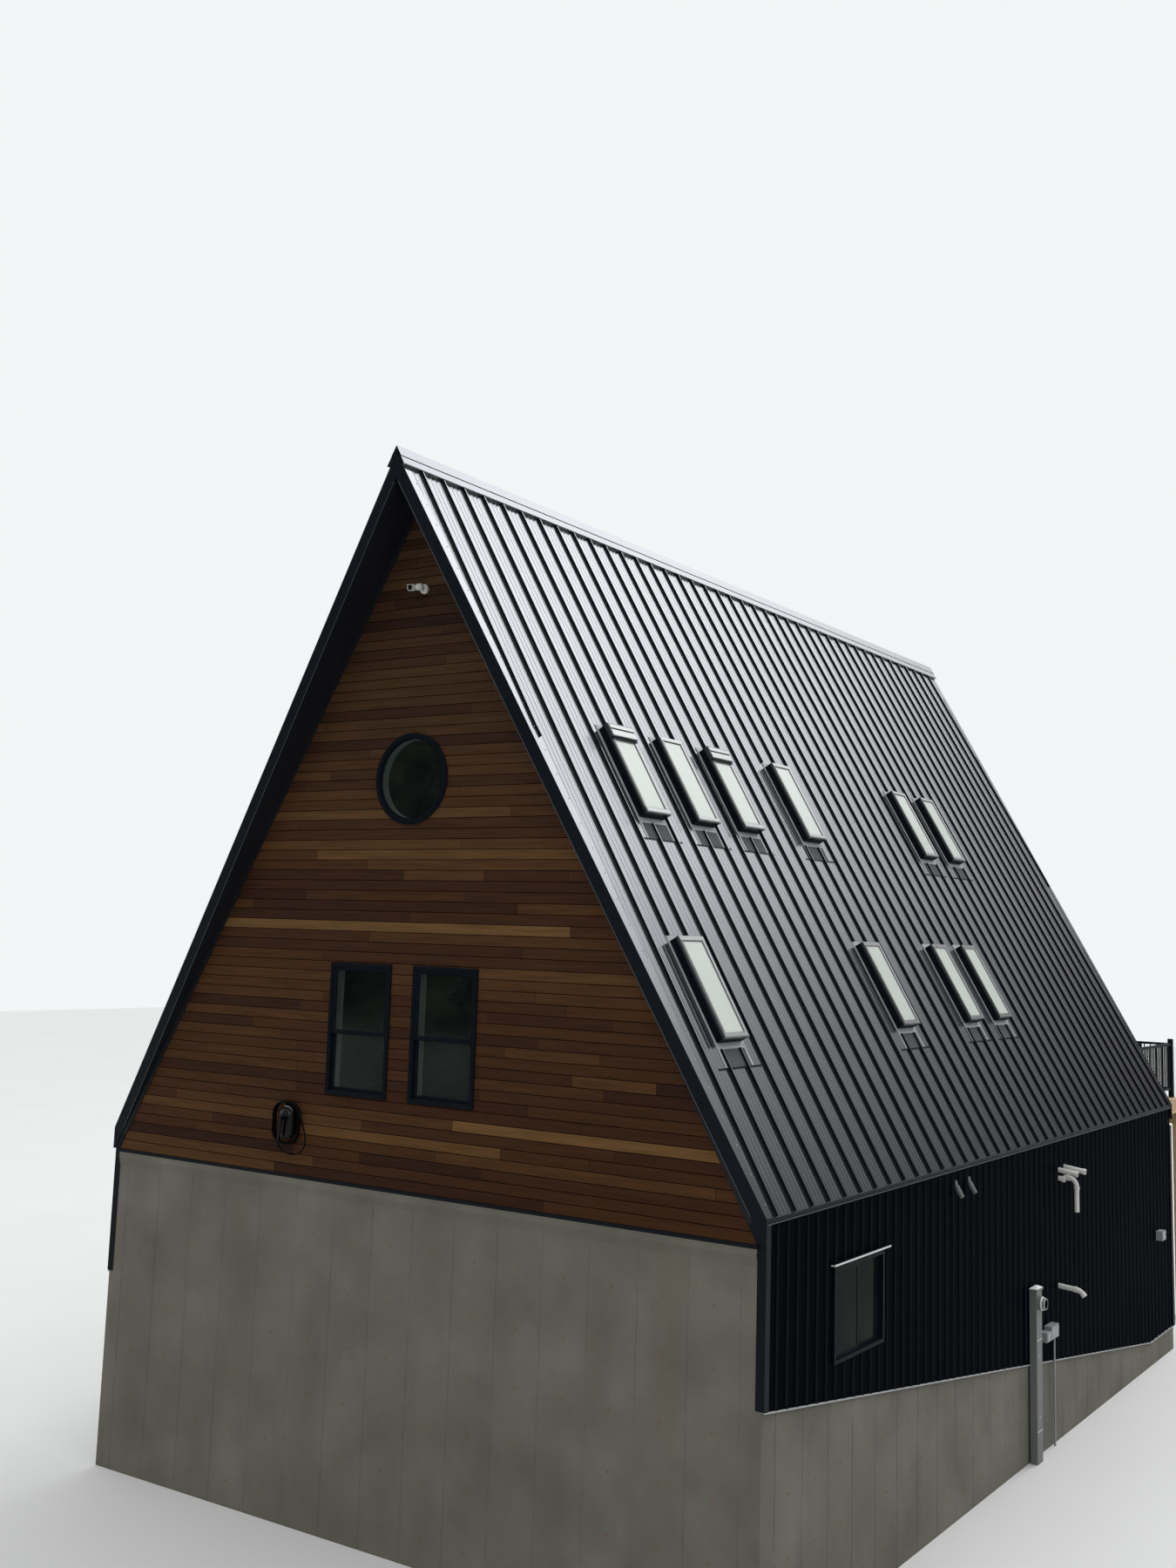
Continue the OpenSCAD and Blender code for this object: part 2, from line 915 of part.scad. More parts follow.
module round_frame() {
    translate([0, 0, eave_height + round_level])
        rotate([90, 0, 0]) {
            translate([0, 0, -front_face - frame_in])
                difference() {
                    cylinder(r = round_radius - round_lip, h = frame_in + boarding);
                    translate([0, 0, -1])
                        cylinder(r = round_radius - round_ring, h = cut);
                }
            translate([0, 0, -front_face + boarding])
                difference() {
                    cylinder(r = round_radius, h = round_out);
                    translate([0, 0, -1])
                        cylinder(r = round_radius - round_ring, h = cut);
                }
        }
}

module round_window_frames() {
    color("black") {
        round_frame();
        at_rear()
            round_frame();
    }
}

module round_pane() {
    translate([0, front_face - round_set + glass, eave_height + round_level])
        rotate([90, 0, 0])
            cylinder(r = round_radius - round_ring, h = glass);
}

module window_glass() {
    color("lightblue") {
        for (rear = [false, true])
            gable_windows_at(rear)
                gable_pane_pair();
        round_pane();
        at_rear()
            round_pane();
        at_sliders()
            slider_pane_pair();
    }
}

// puts its children at the four sliding windows: X along the wall, Y inwards
module at_sliders() {
    translate([wall_x, front_eave + slider_y, slider_low])
        rotate([0, 0, 90])
            children();
    mirror([1, 0, 0])
        translate([wall_x, front_eave + slider_y, slider_low])
            rotate([0, 0, 90])
                children();
    for (side = [-1, 1])
        translate([side * rear_slider_x + slider_width / 2, rear_face, slider_low])
            rotate([0, 0, 180])
                children();
}

module slider_frames() {
    color("black")
        at_sliders()
            along_y(-slider_out, frame_in)
                ring(slider_width, slider_height, slider_frame);
}

module slider_sash_pair() {
    height = slider_height - 2 * slider_frame;
    along_y(0, slider_sash_depth)
        translate([slider_frame, slider_frame])
            ring(slider_half, height, slider_sash);
    along_y(slider_sash_depth, 2 * slider_sash_depth)
        translate([slider_width - slider_frame - slider_half, slider_frame])
            ring(slider_half, height, slider_sash);
}

module slider_pane_pair() {
    inset = slider_frame + slider_sash;
    width = slider_half - 2 * slider_sash;
    height = slider_height - 2 * inset;
    along_y(slider_set, slider_set + glass)
        translate([inset, inset])
            square([width, height]);
    along_y(slider_sash_depth + slider_set, slider_sash_depth + slider_set + glass)
        translate([slider_width - inset - width, inset])
            square([width, height]);
}

module slider_flashings() {
    color("silver")
        at_sliders()
            along_y(-head_out, -head_in)
                translate([-head_side, slider_height + head_rise])
                    square([slider_width + 2 * head_side, head_thickness]);
}

module rear_door() {
    pane_inset = door_frame + leaf_stile;
    color("black") {
        along_y(rear_face - frame_in, rear_face + boarding + frame_out)
            translate([door_x, floor_top])
                ring(door_width, door_height, door_frame);
        along_y(rear_face - leaf_in, rear_face - leaf_out)
            translate([door_x + door_frame, floor_top + door_frame])
                ring(door_width - 2 * door_frame, door_height - 2 * door_frame, leaf_stile);
    }
    color("lightblue")
        along_y(rear_face - leaf_pane, rear_face - leaf_pane + glass)
            translate([door_x + pane_inset, floor_top + pane_inset])
                square([door_width - 2 * pane_inset, door_height - 2 * pane_inset]);
}

module deck_boards() {
    color("burlywood")
        translate([-deck_half_width, deck_front, deck_top - deck_board])
            cube([2 * deck_half_width, deck_depth, deck_board]);
}

module deck_frame() {
    color("peru") {
        for (y = [deck_front, deck_back - joist])
            translate([-deck_half_width, y, joist_bottom])
                cube([2 * deck_half_width, joist, joist_depth]);
        for (i = [0 : joist_bays])
            translate([-deck_half_width + i * joist_step, deck_front, joist_bottom])
                cube([joist, deck_depth, joist_depth]);
    }
}

module deck_beam() {
    color("peru")
        translate([-deck_half_width, deck_back - (deck_post + beam_width) / 2,
                   joist_bottom - joist_depth])
            cube([2 * deck_half_width, beam_width, joist_depth]);
}

module deck_posts() {
    color("peru")
        for (i = [0 : post_bays])
            translate([-deck_half_width + i * post_step, deck_back - deck_post, 0])
                cube([deck_post, deck_post, joist_bottom - joist_depth]);
}

// a length of railing along X: top rail, bottom rail and balusters
module rail_run(length) {
    bays = floor(length / baluster_pitch);
    translate([0, -top_rail_width / 2, railing_height - top_rail_height])
        cube([length, top_rail_width, top_rail_height]);
    translate([0, -low_rail_width / 2, rail_low])
        cube([length, low_rail_width, low_rail_height]);
    for (i = [1 : bays - 1])
        translate([i * length / bays - baluster / 2, -baluster / 2, rail_low + baluster_end])
            cube([baluster, baluster, railing_height - rail_low - 2 * baluster_end]);
}

module deck_railing_rear() {
    bay = (2 * rail_edge - rail_post) / post_bays;
    color("black")
        translate([-rail_edge, rail_back, deck_top]) {
            for (i = [0 : post_bays])
                translate([i * bay, -rail_post, 0])
                    cube([rail_post, rail_post, railing_height + rail_post_top]);
            for (i = [0 : post_bays - 1])
                translate([i * bay + rail_post - rail_bite, -rail_post / 2, 0])
                    rail_run(bay - rail_post + 2 * rail_bite);
        }
}

module deck_railing_right() {
    start = deck_front + railing_gap;
    color("black") {
        translate([rail_edge - rail_post, start, deck_top])
            cube([rail_post, rail_post, railing_height + rail_post_top]);
        translate([rail_edge - rail_post / 2, start + rail_post - rail_bite, deck_top])
            rotate([0, 0, 90])
                rail_run(rail_back - start - 2 * rail_post + rail_bite);
    }
}

module deck_railing_left() {
    mirror([1, 0, 0])
        deck_railing_right();
}

// a round bar between two points
module rod(a, b, r) {
    d = b - a;
    translate(a)
        rotate([0, acos(d[2] / norm(d)), atan2(d[1], d[0])])
            cylinder(r = r, h = norm(d));
}

module security_camera() {
    color("white")
        translate(camera_place) {
            rod(camera_base[0], camera_base[1], 60);
            rod(camera_arm[0], camera_arm[1], 17);
            rod(camera_body[0], camera_body[1], 42);
        }
}

module rounded_rect(w, h, r) {
    translate([r, 0])
        square([w - 2 * r, h]);
    translate([0, r])
        square([w, h - 2 * r]);
    for (x = [r, w - r])
        for (y = [r, h - r])
            translate([x, y])
                circle(r = r);
}

module wall_charger() {
    color("black") {
        along_y(core_front, core_back)
            translate([charger_x - core_width / 2, core_low])
                rounded_rect(core_width, core_top - core_low, core_corner);
        along_y(cover_front, core_front)
            translate([charger_x - charger_width / 2, charger_low])
                rounded_rect(charger_width, charger_height, cover_corner);
        rod([coil_x, core_front, coil_top - hook], [coil_x, core_back, coil_top - hook], hook);
        rod([charger_x, lead_y, lead_top], [charger_x, lead_y, core_low + gland_in], gland);
    }
}

// the outer shape of the cable's turns on their hook
module charger_coil() {
    turn = 2 * cable;
    color("dimgray")
        along_y(coil_front, coil_back)
            translate([coil_x - coil_width / 2, coil_low])
                difference() {
                    rounded_rect(coil_width, coil_height, coil_corner);
                    translate([turn, turn])
                        rounded_rect(coil_width - 2 * turn, coil_height - 2 * turn, coil_corner - turn);
                }
}

// a point and a heading on the smooth line through a list of points
function smooth_point(p, i, t) =
    let (a = p[max(i - 1, 0)], b = p[i], c = p[i + 1], d = p[min(i + 2, len(p) - 1)])
    b + t * ((c - a) / 2 + t * (a - 2.5 * b + 2 * c - d / 2 + t * (1.5 * b - a / 2 - 1.5 * c + d / 2)));
function smooth_line(p, steps) =
    [for (k = [0 : steps * (len(p) - 1)])
     let (i = min(floor(k / steps), len(p) - 2)) smooth_point(p, i, k / steps - i)];
function unit(v) = v / norm(v);
function heading(p, k) = unit(p[min(k + 1, len(p) - 1)] - p[max(k - 1, 0)]);

// a round tube along a line that runs nearly level with the front wall
module tube(line, r) {
    sides = tube_sides;
    last = len(line) - 1;
    points = [for (k = [0 : last])
              let (h = heading(line, k), u = unit(cross(h, [0, 1, 0])), v = cross(u, h))
              for (a = [0 : 360 / sides : 359]) line[k] + r * (cos(a) * u + sin(a) * v)];
    walls = [for (k = [0 : last - 1]) for (j = [0 : sides - 1])
             [k * sides + j, k * sides + (j + 1) % sides,
              (k + 1) * sides + (j + 1) % sides, (k + 1) * sides + j]];
    ends = [[for (j = [sides - 1 : -1 : 0]) j], [for (j = [0 : sides - 1]) last * sides + j]];
    polyhedron(points, concat(walls, ends), convexity = 6);
}

module cable_lead() {
    color("dimgray")
        difference() {
            tube(lead_route, cable);
            charger_coil($fn = 180);
        }
}

module cable_loop() {
    color("dimgray")
        difference() {
            tube(smooth_line(loop_route, 2), cable);
            charger_coil($fn = 180);
        }
}

// the connector: a boot on the cable, a handle and a nose that rests in the cover
module charger_connector() {
    grip = loop_end + grip_step;
    head = loop_end + head_step;
    color("black") {
        rod(loop_end, grip + [1, 0, 4], boot);
        rod(grip, head, handle);
        rod([head[0], head[1] - nose - 1, head[2]], [head[0], cover_front, head[2]], nose);
    }
}

// keeps what lies outside the siding's sheet on the right wall
module outside_sheet() {
    intersection() {
        translate([sheet_x, front_eave, 0])
            cube([past_all, eave_length, eave_height]);
        children();
    }
}

module exhaust_vents() {
    color("silver")
        outside_sheet()
            for (y = vent_places)
                translate([sheet_x, front_eave + y, eave_height - vent_drop]) {
                    rotate([0, 90, 0])
                        cylinder(r = vent_collar, h = vent_collar_depth);
                    rotate([0, vent_tilt, 0])
                        translate([0, 0, -pipe_root])
                            cylinder(r = vent, h = vent_length);
                }
}

// a pipe that sticks out of the right wall, dropping a little, with a socket on its end
module wall_pipe(y, z, length) {
    outside_sheet()
        translate([wall_x, front_eave + y, eave_height + z])
            rotate([0, 90 + pipe_fall, 0])
                difference() {
                    union() {
                        translate([0, 0, -pipe_root])
                            cylinder(r = pipe, h = length + pipe_root);
                        translate([0, 0, length - pipe_socket_length])
                            cylinder(r = pipe_socket, h = pipe_socket_length);
                    }
                    translate([0, 0, bore_start])
                        cylinder(r = pipe - pipe_wall, h = length);
                }
}

// a pipe's bend, from outwards to downwards
module pipe_bend(angle) {
    translate([0, 0, -pipe_bend_radius])
        rotate([90, 0, 0])
            rotate([0, 0, 90 - angle])
                rotate_extrude(angle = angle)
                    translate([pipe_bend_radius, 0])
                        circle(r = pipe);
}

// a pipe that turns straight down outside the right wall
module bent_pipe(y, z, out, drop) {
    turn = out - pipe_bend_radius;
    translate([wall_x, front_eave + y, eave_height + z]) {
        rotate([0, 90, 0])
            cylinder(r = pipe, h = turn);
        translate([turn, 0, 0])
            pipe_bend(90);
        translate([turn - hub_out, 0, 0])
            rotate([0, 90, 0])
                cylinder(r = pipe_socket, h = hub_out + hub_in);
        translate([out, 0, -drop])
            cylinder(r = pipe, h = drop - pipe_bend_radius);
        translate([out, 0, -pipe_bend_radius - hub_out])
            cylinder(r = pipe_socket, h = hub_out + hub_in);
    }
}

// a pipe that slopes off the right wall and turns half down at its end
module sloped_pipe(y, z, length) {
    turn = low_pipe_turn;
    translate([wall_x, front_eave + y, eave_height + z])
        rotate([0, low_pipe_fall, 0]) {
            rotate([0, 90, 0])
                translate([0, 0, -pipe_root]) {
                    cylinder(r = pipe, h = length + pipe_root);
                    translate([0, 0, length + pipe_root - hub_out])
                        cylinder(r = pipe_socket, h = hub_out + hub_in);
                }
            translate([length, 0, 0])
                pipe_bend(turn);
            translate([length + pipe_bend_radius * sin(turn), 0, pipe_bend_radius * (cos(turn) - 1)])
                rotate([0, 90 + turn, 0])
                    translate([0, 0, -hub_in])
                        cylinder(r = pipe_socket, h = low_pipe_mouth);
        }
}

module pvc_pipes() {
    color("white") {
        for (q = high_pipes)
            wall_pipe(q[0], q[1], q[2]);
        outside_sheet()
            bent_pipe(bend_pipe[0], bend_pipe[1], bend_pipe[2], bend_pipe[3]);
        outside_sheet()
            sloped_pipe(low_pipe[0], low_pipe[1], low_pipe[2]);
    }
}

// the meter's post beside the wall, its capped top and the round meter
module meter_pedestal() {
    post_top = eave_height - post_drop;
    middle = front_eave + post_y + post_width / 2;
    cap_depth = post_depth + post_cap;
    cap_width = post_width + 2 * post_cap;
    face = rib_x + post_depth;
    z = eave_height - meter_drop;
    color("gray") {
        translate([rib_x, front_eave + post_y, 0])
            cube([post_depth, post_width, post_top]);
        translate([rib_x, middle - cap_width / 2, post_top])
            cube([cap_depth, cap_width, post_cap_height]);
        translate([rib_x + cap_depth / 2, middle, post_top + post_cap_height])
            linear_extrude(height = post_cap_point, scale = 0.3)
                square([cap_depth, cap_width], center = true);
        rod([face, middle, z], [face + meter_base_depth, middle, z], meter_base);
        rod([face + meter_base_depth, middle, z], [face + meter_depth, middle, z], meter_glass);
    }
}

module service_boxes() {
    big = service_sizes[0];
    x = rib_x + conduit + conduit_gap;
    z = eave_height - big[1] + big[3] / 2;
    y = front_eave + conduit_y;
    color("gray") {
        for (q = service_sizes)
            translate([rib_x, front_eave + q[0], eave_height - q[1]])
                cube([box_depth, q[2], q[3]]);
        rod([x, y, 0], [x, y, z], conduit);
        rod([x, front_eave + big[0] + big[2] - conduit_gap, z], [x, y, z], conduit);
        translate([x - conduit_elbow, y - conduit_elbow, z - conduit_elbow])
            cube(2 * conduit_elbow);
    }
}

foundation();
lower_floor();
side_walls();
rear_lower_wall();
lower_siding();
wall_trims();
main_floor();
loft_floor();
front_gable_wall();
front_boarding();
rear_gable_wall();
rear_boarding();
roof_decks();
roof_metal();
ridge_cap();
rake_trims();
soffits();
eave_flashings();
skylight_frames();
skylight_glass();
skylight_flashings();
gable_window_frames();
round_window_frames();
slider_frames();
window_sashes();
window_glass();
slider_flashings();
rear_door();
deck_boards();
deck_frame();
deck_beam();
deck_posts();
deck_railing_rear();
deck_railing_right();
deck_railing_left();
security_camera();
wall_charger();
charger_coil();
cable_lead();
cable_loop();
charger_connector();
exhaust_vents();
pvc_pipes();
meter_pedestal();
service_boxes();
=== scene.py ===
import math
import random

import bmesh
import bpy
from mathutils import Matrix, Vector


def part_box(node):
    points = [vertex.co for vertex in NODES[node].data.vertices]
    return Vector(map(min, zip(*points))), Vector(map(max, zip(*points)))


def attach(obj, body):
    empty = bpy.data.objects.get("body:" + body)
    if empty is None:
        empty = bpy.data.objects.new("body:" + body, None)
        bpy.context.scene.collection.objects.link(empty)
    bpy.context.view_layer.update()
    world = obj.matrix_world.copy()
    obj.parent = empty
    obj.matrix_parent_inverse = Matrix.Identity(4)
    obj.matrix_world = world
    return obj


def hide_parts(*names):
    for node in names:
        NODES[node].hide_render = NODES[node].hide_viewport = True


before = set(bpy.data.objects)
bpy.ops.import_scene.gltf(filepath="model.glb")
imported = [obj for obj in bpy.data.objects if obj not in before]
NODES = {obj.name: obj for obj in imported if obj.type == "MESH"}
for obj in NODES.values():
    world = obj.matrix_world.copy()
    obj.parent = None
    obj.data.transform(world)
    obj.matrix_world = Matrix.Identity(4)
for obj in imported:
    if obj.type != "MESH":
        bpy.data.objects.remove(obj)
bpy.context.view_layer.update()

# The cabin's own measures, in metres, as in the part's source
HALF = 4.865
EAVE = 4.25
PITCH = math.radians(60)
SLOPE = HALF / math.cos(PITCH)
APEX = EAVE + HALF * math.tan(PITCH)
FRONT_EAVE = -0.165
REAR_EAVE = 15.765
MIDDLE_Y = (FRONT_EAVE + REAR_EAVE) / 2
FRONT_FACE = -0.125
REAR_FACE = 15.725
LEAN = 0.545
WALL_X = 4.82
SHEET_X = 4.826
RIB_X = 4.845
BOARD = 0.020
BOARDS_X = 4.75
BOARDS_LOW = 3.905
# in the photo the front boards end higher than the source's
FRONT_BOARDS_LOW = 3.995
FLOOR_TOP = 4.19
ROOF_DEEP = 0.310
RAKE_FLANGE = 0.130
# the siding's lower edge at the front and at the rear, and where it becomes level
SIDING_FRONT = 2.43
SIDING_REAR = 0.405
LEVEL_Y = 14.135
# the skylights' heads, down the slope from the ridge, and their middles, behind the front eave
UPPER_ROW = 3.743
LOWER_ROW = 6.620
UPPER = [1.490, 2.715, 3.905, 5.800, 10.090, 11.320]
LOWER = [0.872, 5.750, 8.220, 9.450]
VENTED = (0, 2)
SKY_W = 0.540
SKY_L = 1.220
SKY_H = 0.125
PAN_L = 0.210
FLASH_SIDE = 0.045
FLASH_APRON = 0.080
SEAM_START = -0.195
SEAM_PITCH = 0.4064
SEAM_COUNT = 41
WAVES = 4


def rake_front(s):
    return FRONT_EAVE - LEAN * max(0.0, 1 - s / SLOPE)


def rake_rear(s):
    return REAR_EAVE + LEAN * max(0.0, 1 - s / SLOPE)


def on_slope(side, s, y, n):
    """A point s down a slope from the ridge and n above its panels. side is 1 right, -1 left."""
    x = s * math.cos(PITCH) + n * math.sin(PITCH)
    return (side * x, y, APEX - s * math.sin(PITCH) + n * math.cos(PITCH))


def square_to_slope(n):
    """1 where a normal stands square to a slope's panels, and less where it doesn't."""
    return abs(n.x) * math.sin(PITCH) + n.z * math.cos(PITCH)


def rear_y(y):
    """The place at the rear gable that matches a place at the front one."""
    return 2 * MIDDLE_Y - y


def new_object(name, data):
    obj = bpy.data.objects.new(name, data)
    bpy.context.scene.collection.objects.link(obj)
    return obj


def make_camera():
    """The photo's camera, as solved from the roof's lines."""
    yaw, pitch, roll = (math.radians(a) for a in (33.939, 7.966, 1.783))
    level = Vector((-math.sin(yaw), math.cos(yaw), 0))
    forward = level * math.cos(pitch) + Vector((0, 0, math.sin(pitch)))
    right = Vector((math.cos(yaw), math.sin(yaw), 0))
    up = right.cross(forward)
    r = right * math.cos(roll) + up * math.sin(roll)
    u = -right * math.sin(roll) + up * math.cos(roll)
    m = Matrix((r, u, -forward)).transposed().to_4x4()
    m.translation = (12.2506, -14.4601, 6.9865)
    data = bpy.data.cameras.new("camera")
    data.sensor_fit = "AUTO"
    data.sensor_width = 36
    data.lens = 35.905
    data.shift_x = -0.00425
    data.shift_y = -0.0432
    data.clip_end = 500
    cam = new_object("camera", data)
    cam.matrix_world = m
    bpy.context.scene.camera = cam


make_camera()


class Nodes:
    """The few kinds of shader nodes that the looks and the world need, added to one tree."""

    def __init__(self, tree):
        self.tree = tree
        tree.nodes.clear()

    def feed(self, socket, value):
        """Sets a socket to a value, or links another node's output to it."""
        if isinstance(value, bpy.types.NodeSocket):
            self.tree.links.new(value, socket)
        elif socket.type == "RGBA":
            socket.default_value = (*value, 1)
        else:
            socket.default_value = value

    def node(self, kind, inputs=(), **settings):
        n = self.tree.nodes.new("ShaderNode" + kind)
        for key, value in settings.items():
            setattr(n, key, value)
        for key, value in dict(inputs).items():
            self.feed(n.inputs[key], value)
        return n

    def ramp(self, value, *stops):
        r = self.node("ValToRGB", {"Fac": value})
        e = r.color_ramp.elements
        while len(e) < len(stops):
            e.new(0.5)
        for element, (at, colour) in zip(e, stops):
            element.position = at
            element.color = (*colour, 1)
        return r.outputs["Color"]


class Look(Nodes):
    """One procedural material."""

    def __init__(self, name, roughness=0.5, metallic=0.0, **sockets):
        self.material = bpy.data.materials.new(name)
        self.material.use_nodes = True
        super().__init__(self.material.node_tree)
        self.shader = self.node("BsdfPrincipled", {"Roughness": roughness, "Metallic": metallic})
        for key, value in sockets.items():
            self.shader.inputs[key.replace("_", " ")].default_value = value
        self.out = self.node("OutputMaterial", {0: self.shader.outputs[0]})
        self.place = self.node("TexCoord").outputs["Object"]

    def noise(self, scale, detail=4.0, stretch=(1, 1, 1), rough=0.55):
        place = self.node("Mapping", {"Scale": stretch, "Vector": self.place}).outputs[0]
        inputs = {"Scale": scale, "Detail": detail, "Roughness": rough, "Vector": place}
        return self.node("TexNoise", inputs).outputs["Fac"]

    def height(self, low, high):
        """0 at one height above the lowest ground and 1 at another."""
        part = self.node("SeparateXYZ", {0: self.place})
        return self.span(part.outputs[2], 0.0, 1.0, low, high)

    def tone(self):
        return self.node("Attribute", attribute_name="tone").outputs["Fac"]

    def span(self, value, low, high, from_low=0.0, from_high=1.0):
        inputs = {"From Min": from_low, "From Max": from_high, "To Min": low, "To Max": high, "Value": value}
        return self.node("MapRange", inputs).outputs["Result"]

    def mix(self, factor, a, b, how="MIX"):
        return self.node("Mix", {"Factor": factor, 6: a, 7: b}, data_type="RGBA", blend_type=how).outputs[2]

    def colour(self, value):
        self.feed(self.shader.inputs["Base Color"], value)

    def rough(self, value):
        self.feed(self.shader.inputs["Roughness"], value)

    def bump(self, height, strength, distance):
        """The last step of most looks: it returns the material."""
        b = self.node("Bump", {"Strength": strength, "Distance": distance, "Height": height})
        self.feed(self.shader.inputs["Normal"], b.outputs[0])
        return self.material


def cedar_look(name, stretch):
    """Boards by their tone, with near-black painted shade in the grooves along their edges, and painted shade
    by height on the gable.
    """
    k = Look(name, 0.55, Specular_IOR_Level=0.08)
    grain = k.noise(1.0, 6, stretch, 0.6)
    fine = k.noise(1.0, 3, tuple(4 * v for v in stretch), 0.7)
    # tone 0 is the boards' chamfered edges: near-black painted shade in the grooves between the rows
    board = k.ramp(k.tone(), (0.0, (0.007, 0.003, 0.002)), (0.04, (0.038, 0.014, 0.008)),
                   (0.3, (0.058, 0.022, 0.010)), (0.6, (0.092, 0.039, 0.015)), (0.85, (0.145, 0.070, 0.027)),
                   (1.0, (0.240, 0.132, 0.053)))
    shade = k.ramp(grain, (0.25, (0.60, 0.56, 0.52)), (0.5, (0.95, 0.93, 0.9)), (0.75, (1.25, 1.22, 1.16)))
    wood = k.mix(1.0, board, shade, "MULTIPLY")
    wood = k.mix(k.span(fine, 0.0, 0.35, 0.45, 0.75), wood, (0.035, 0.014, 0.008))
    # painted shade by height: darker and warmer low down, darker and bluer towards the apex under the
    # overhang
    painted_shade = k.ramp(k.height(EAVE, APEX), (0.0, (0.66, 0.64, 0.56)), (0.22, (0.80, 0.84, 0.80)),
                     (0.42, (0.92, 1.0, 0.98)), (0.62, (0.76, 0.92, 1.0)), (1.0, (0.50, 0.66, 0.80)))
    k.colour(k.mix(1.0, wood, painted_shade, "MULTIPLY"))
    k.rough(k.span(grain, 0.48, 0.66))
    return k.bump(fine, 0.35, 0.0015)


def coated_look(name, dark, light, roughness, metallic=0.0, coat=0.0, scale=1.3, gloss=0.5):
    """Factory-coated metal: even, with soft clouding and fine dust."""
    k = Look(name, roughness, metallic, Coat_Weight=coat, Coat_Roughness=0.2, Specular_IOR_Level=gloss)
    cloud = k.noise(scale, 5)
    dust = k.noise(60.0, 3)
    k.colour(k.mix(k.span(dust, 0.0, 0.25, 0.4, 0.8), k.mix(cloud, dark, light), light))
    k.rough(k.span(cloud, roughness - 0.06, roughness + 0.08))
    return k.bump(k.noise(9.0, 2), 0.08, 0.002)


def roof_look():
    """Coated panels with painted shade that darkens them down the slope, standing in for the sky's reflection
    fading there, with faint rain streaks.
    """
    k = Look("roof_coating", 0.3, 0.8, Coat_Weight=0.38, Coat_Roughness=0.16)
    cloud = k.noise(0.8, 5)
    streak = k.noise(1.0, 4, (3.0, 26.0, 0.7))
    base = k.mix(cloud, (0.150, 0.154, 0.168), (0.190, 0.195, 0.210))
    base = k.mix(k.span(streak, 0.0, 0.5, 0.5, 0.85), base, (0.260, 0.265, 0.280))
    # painted shade: darkest at the eave, brightest two fifths of the way up, a little darker at the ridge
    painted_slope_shade = k.ramp(k.height(EAVE, APEX), *((at, (level,) * 3) for at, level in
                                          ((0.0, 0.50), (0.20, 0.60), (0.42, 0.98), (1.0, 0.88))))
    k.colour(k.mix(1.0, base, painted_slope_shade, "MULTIPLY"))
    k.rough(k.span(streak, 0.12, 0.21))
    return k.bump(k.noise(2.2, 2, (1, 1.0, 0.25)), 0.06, 0.01)


def concrete_look():
    k = Look("cast_concrete", 0.85)
    cloud = k.noise(1.1, 6)
    pit = k.noise(45.0, 4)
    stain = k.noise(1.0, 5, (2.2, 2.2, 0.4))
    c = k.ramp(cloud, (0.3, (0.100, 0.094, 0.074)), (0.55, (0.134, 0.127, 0.101)),
               (0.8, (0.172, 0.164, 0.133)))
    c = k.mix(k.span(stain, 0.0, 0.55, 0.5, 0.85), c, (0.102, 0.084, 0.060))
    c = k.mix(k.span(pit, 0.0, 0.5, 0.6, 0.8), c, (0.086, 0.081, 0.067))
    k.colour(c)
    return k.bump(pit, 0.5, 0.004)


def timber_look(name, dark, light, stretch, roughness=0.65, use_tone=False):
    k = Look(name, roughness)
    grain = k.noise(1.0, 6, stretch, 0.6)
    c = k.mix(k.span(grain, 0, 1, 0.3, 0.7), dark, light)
    if use_tone:
        c = k.mix(1.0, c, k.ramp(k.tone(), (0.0, (0.72, 0.70, 0.68)), (1.0, (1.15, 1.12, 1.08))), "MULTIPLY")
    k.colour(c)
    return k.bump(grain, 0.3, 0.002)


def plastic_look(name, dark, light, roughness, scale=30.0, coat=0.0, gloss=0.3):
    k = Look(name, roughness, 0.0, Coat_Weight=coat, Coat_Roughness=0.08, Specular_IOR_Level=gloss)
    k.colour(k.mix(k.noise(scale, 3), dark, light))
    k.rough(k.span(k.noise(scale / 4, 3), max(0.03, roughness - 0.08), roughness + 0.08))
    return k.bump(k.noise(300.0, 2), 0.06, 0.0004)


def window_glass_look():
    """Clear panes, a little green, that light passes straight through, with a mottled dark green colour mixed
    over them as painted dark reflection.
    """
    k = Look("window_panes", 0.06, 0.0, IOR=1.5)
    # painted dark reflection: a mottled dark green colour mixed over the clear glass
    k.colour(k.ramp(k.noise(2.6, 6), (0.35, (0.008, 0.014, 0.012)), (0.55, (0.022, 0.034, 0.028)),
                    (0.75, (0.050, 0.062, 0.046))))
    tint = k.mix(k.noise(0.9, 3), (0.84, 0.88, 0.86), (0.90, 0.93, 0.91))
    clear = k.node("BsdfTransparent", {"Color": tint})
    edge = k.node("LayerWeight", {"Blend": 0.12}).outputs["Fresnel"]
    blend = k.node("MixShader", {0: k.span(edge, 0.19, 1.0), 1: clear.outputs[0], 2: k.shader.outputs[0]})
    k.feed(k.out.inputs[0], blend.outputs[0])
    return k.material


def shaded_panes_look():
    """The lower storey's panes, before a dark room: painted near-black as shade, mottled with faint painted
    reflection.
    """
    k = Look("dark_panes_painted_shade", 0.06, 0.0, IOR=1.14, Specular_IOR_Level=0.12)
    k.colour(k.ramp(k.noise(1.7, 5), (0.3, (0.003, 0.005, 0.004)), (0.6, (0.008, 0.012, 0.010)),
                    (0.8, (0.018, 0.024, 0.019))))
    return k.bump(k.noise(0.9, 1), 0.02, 0.01)


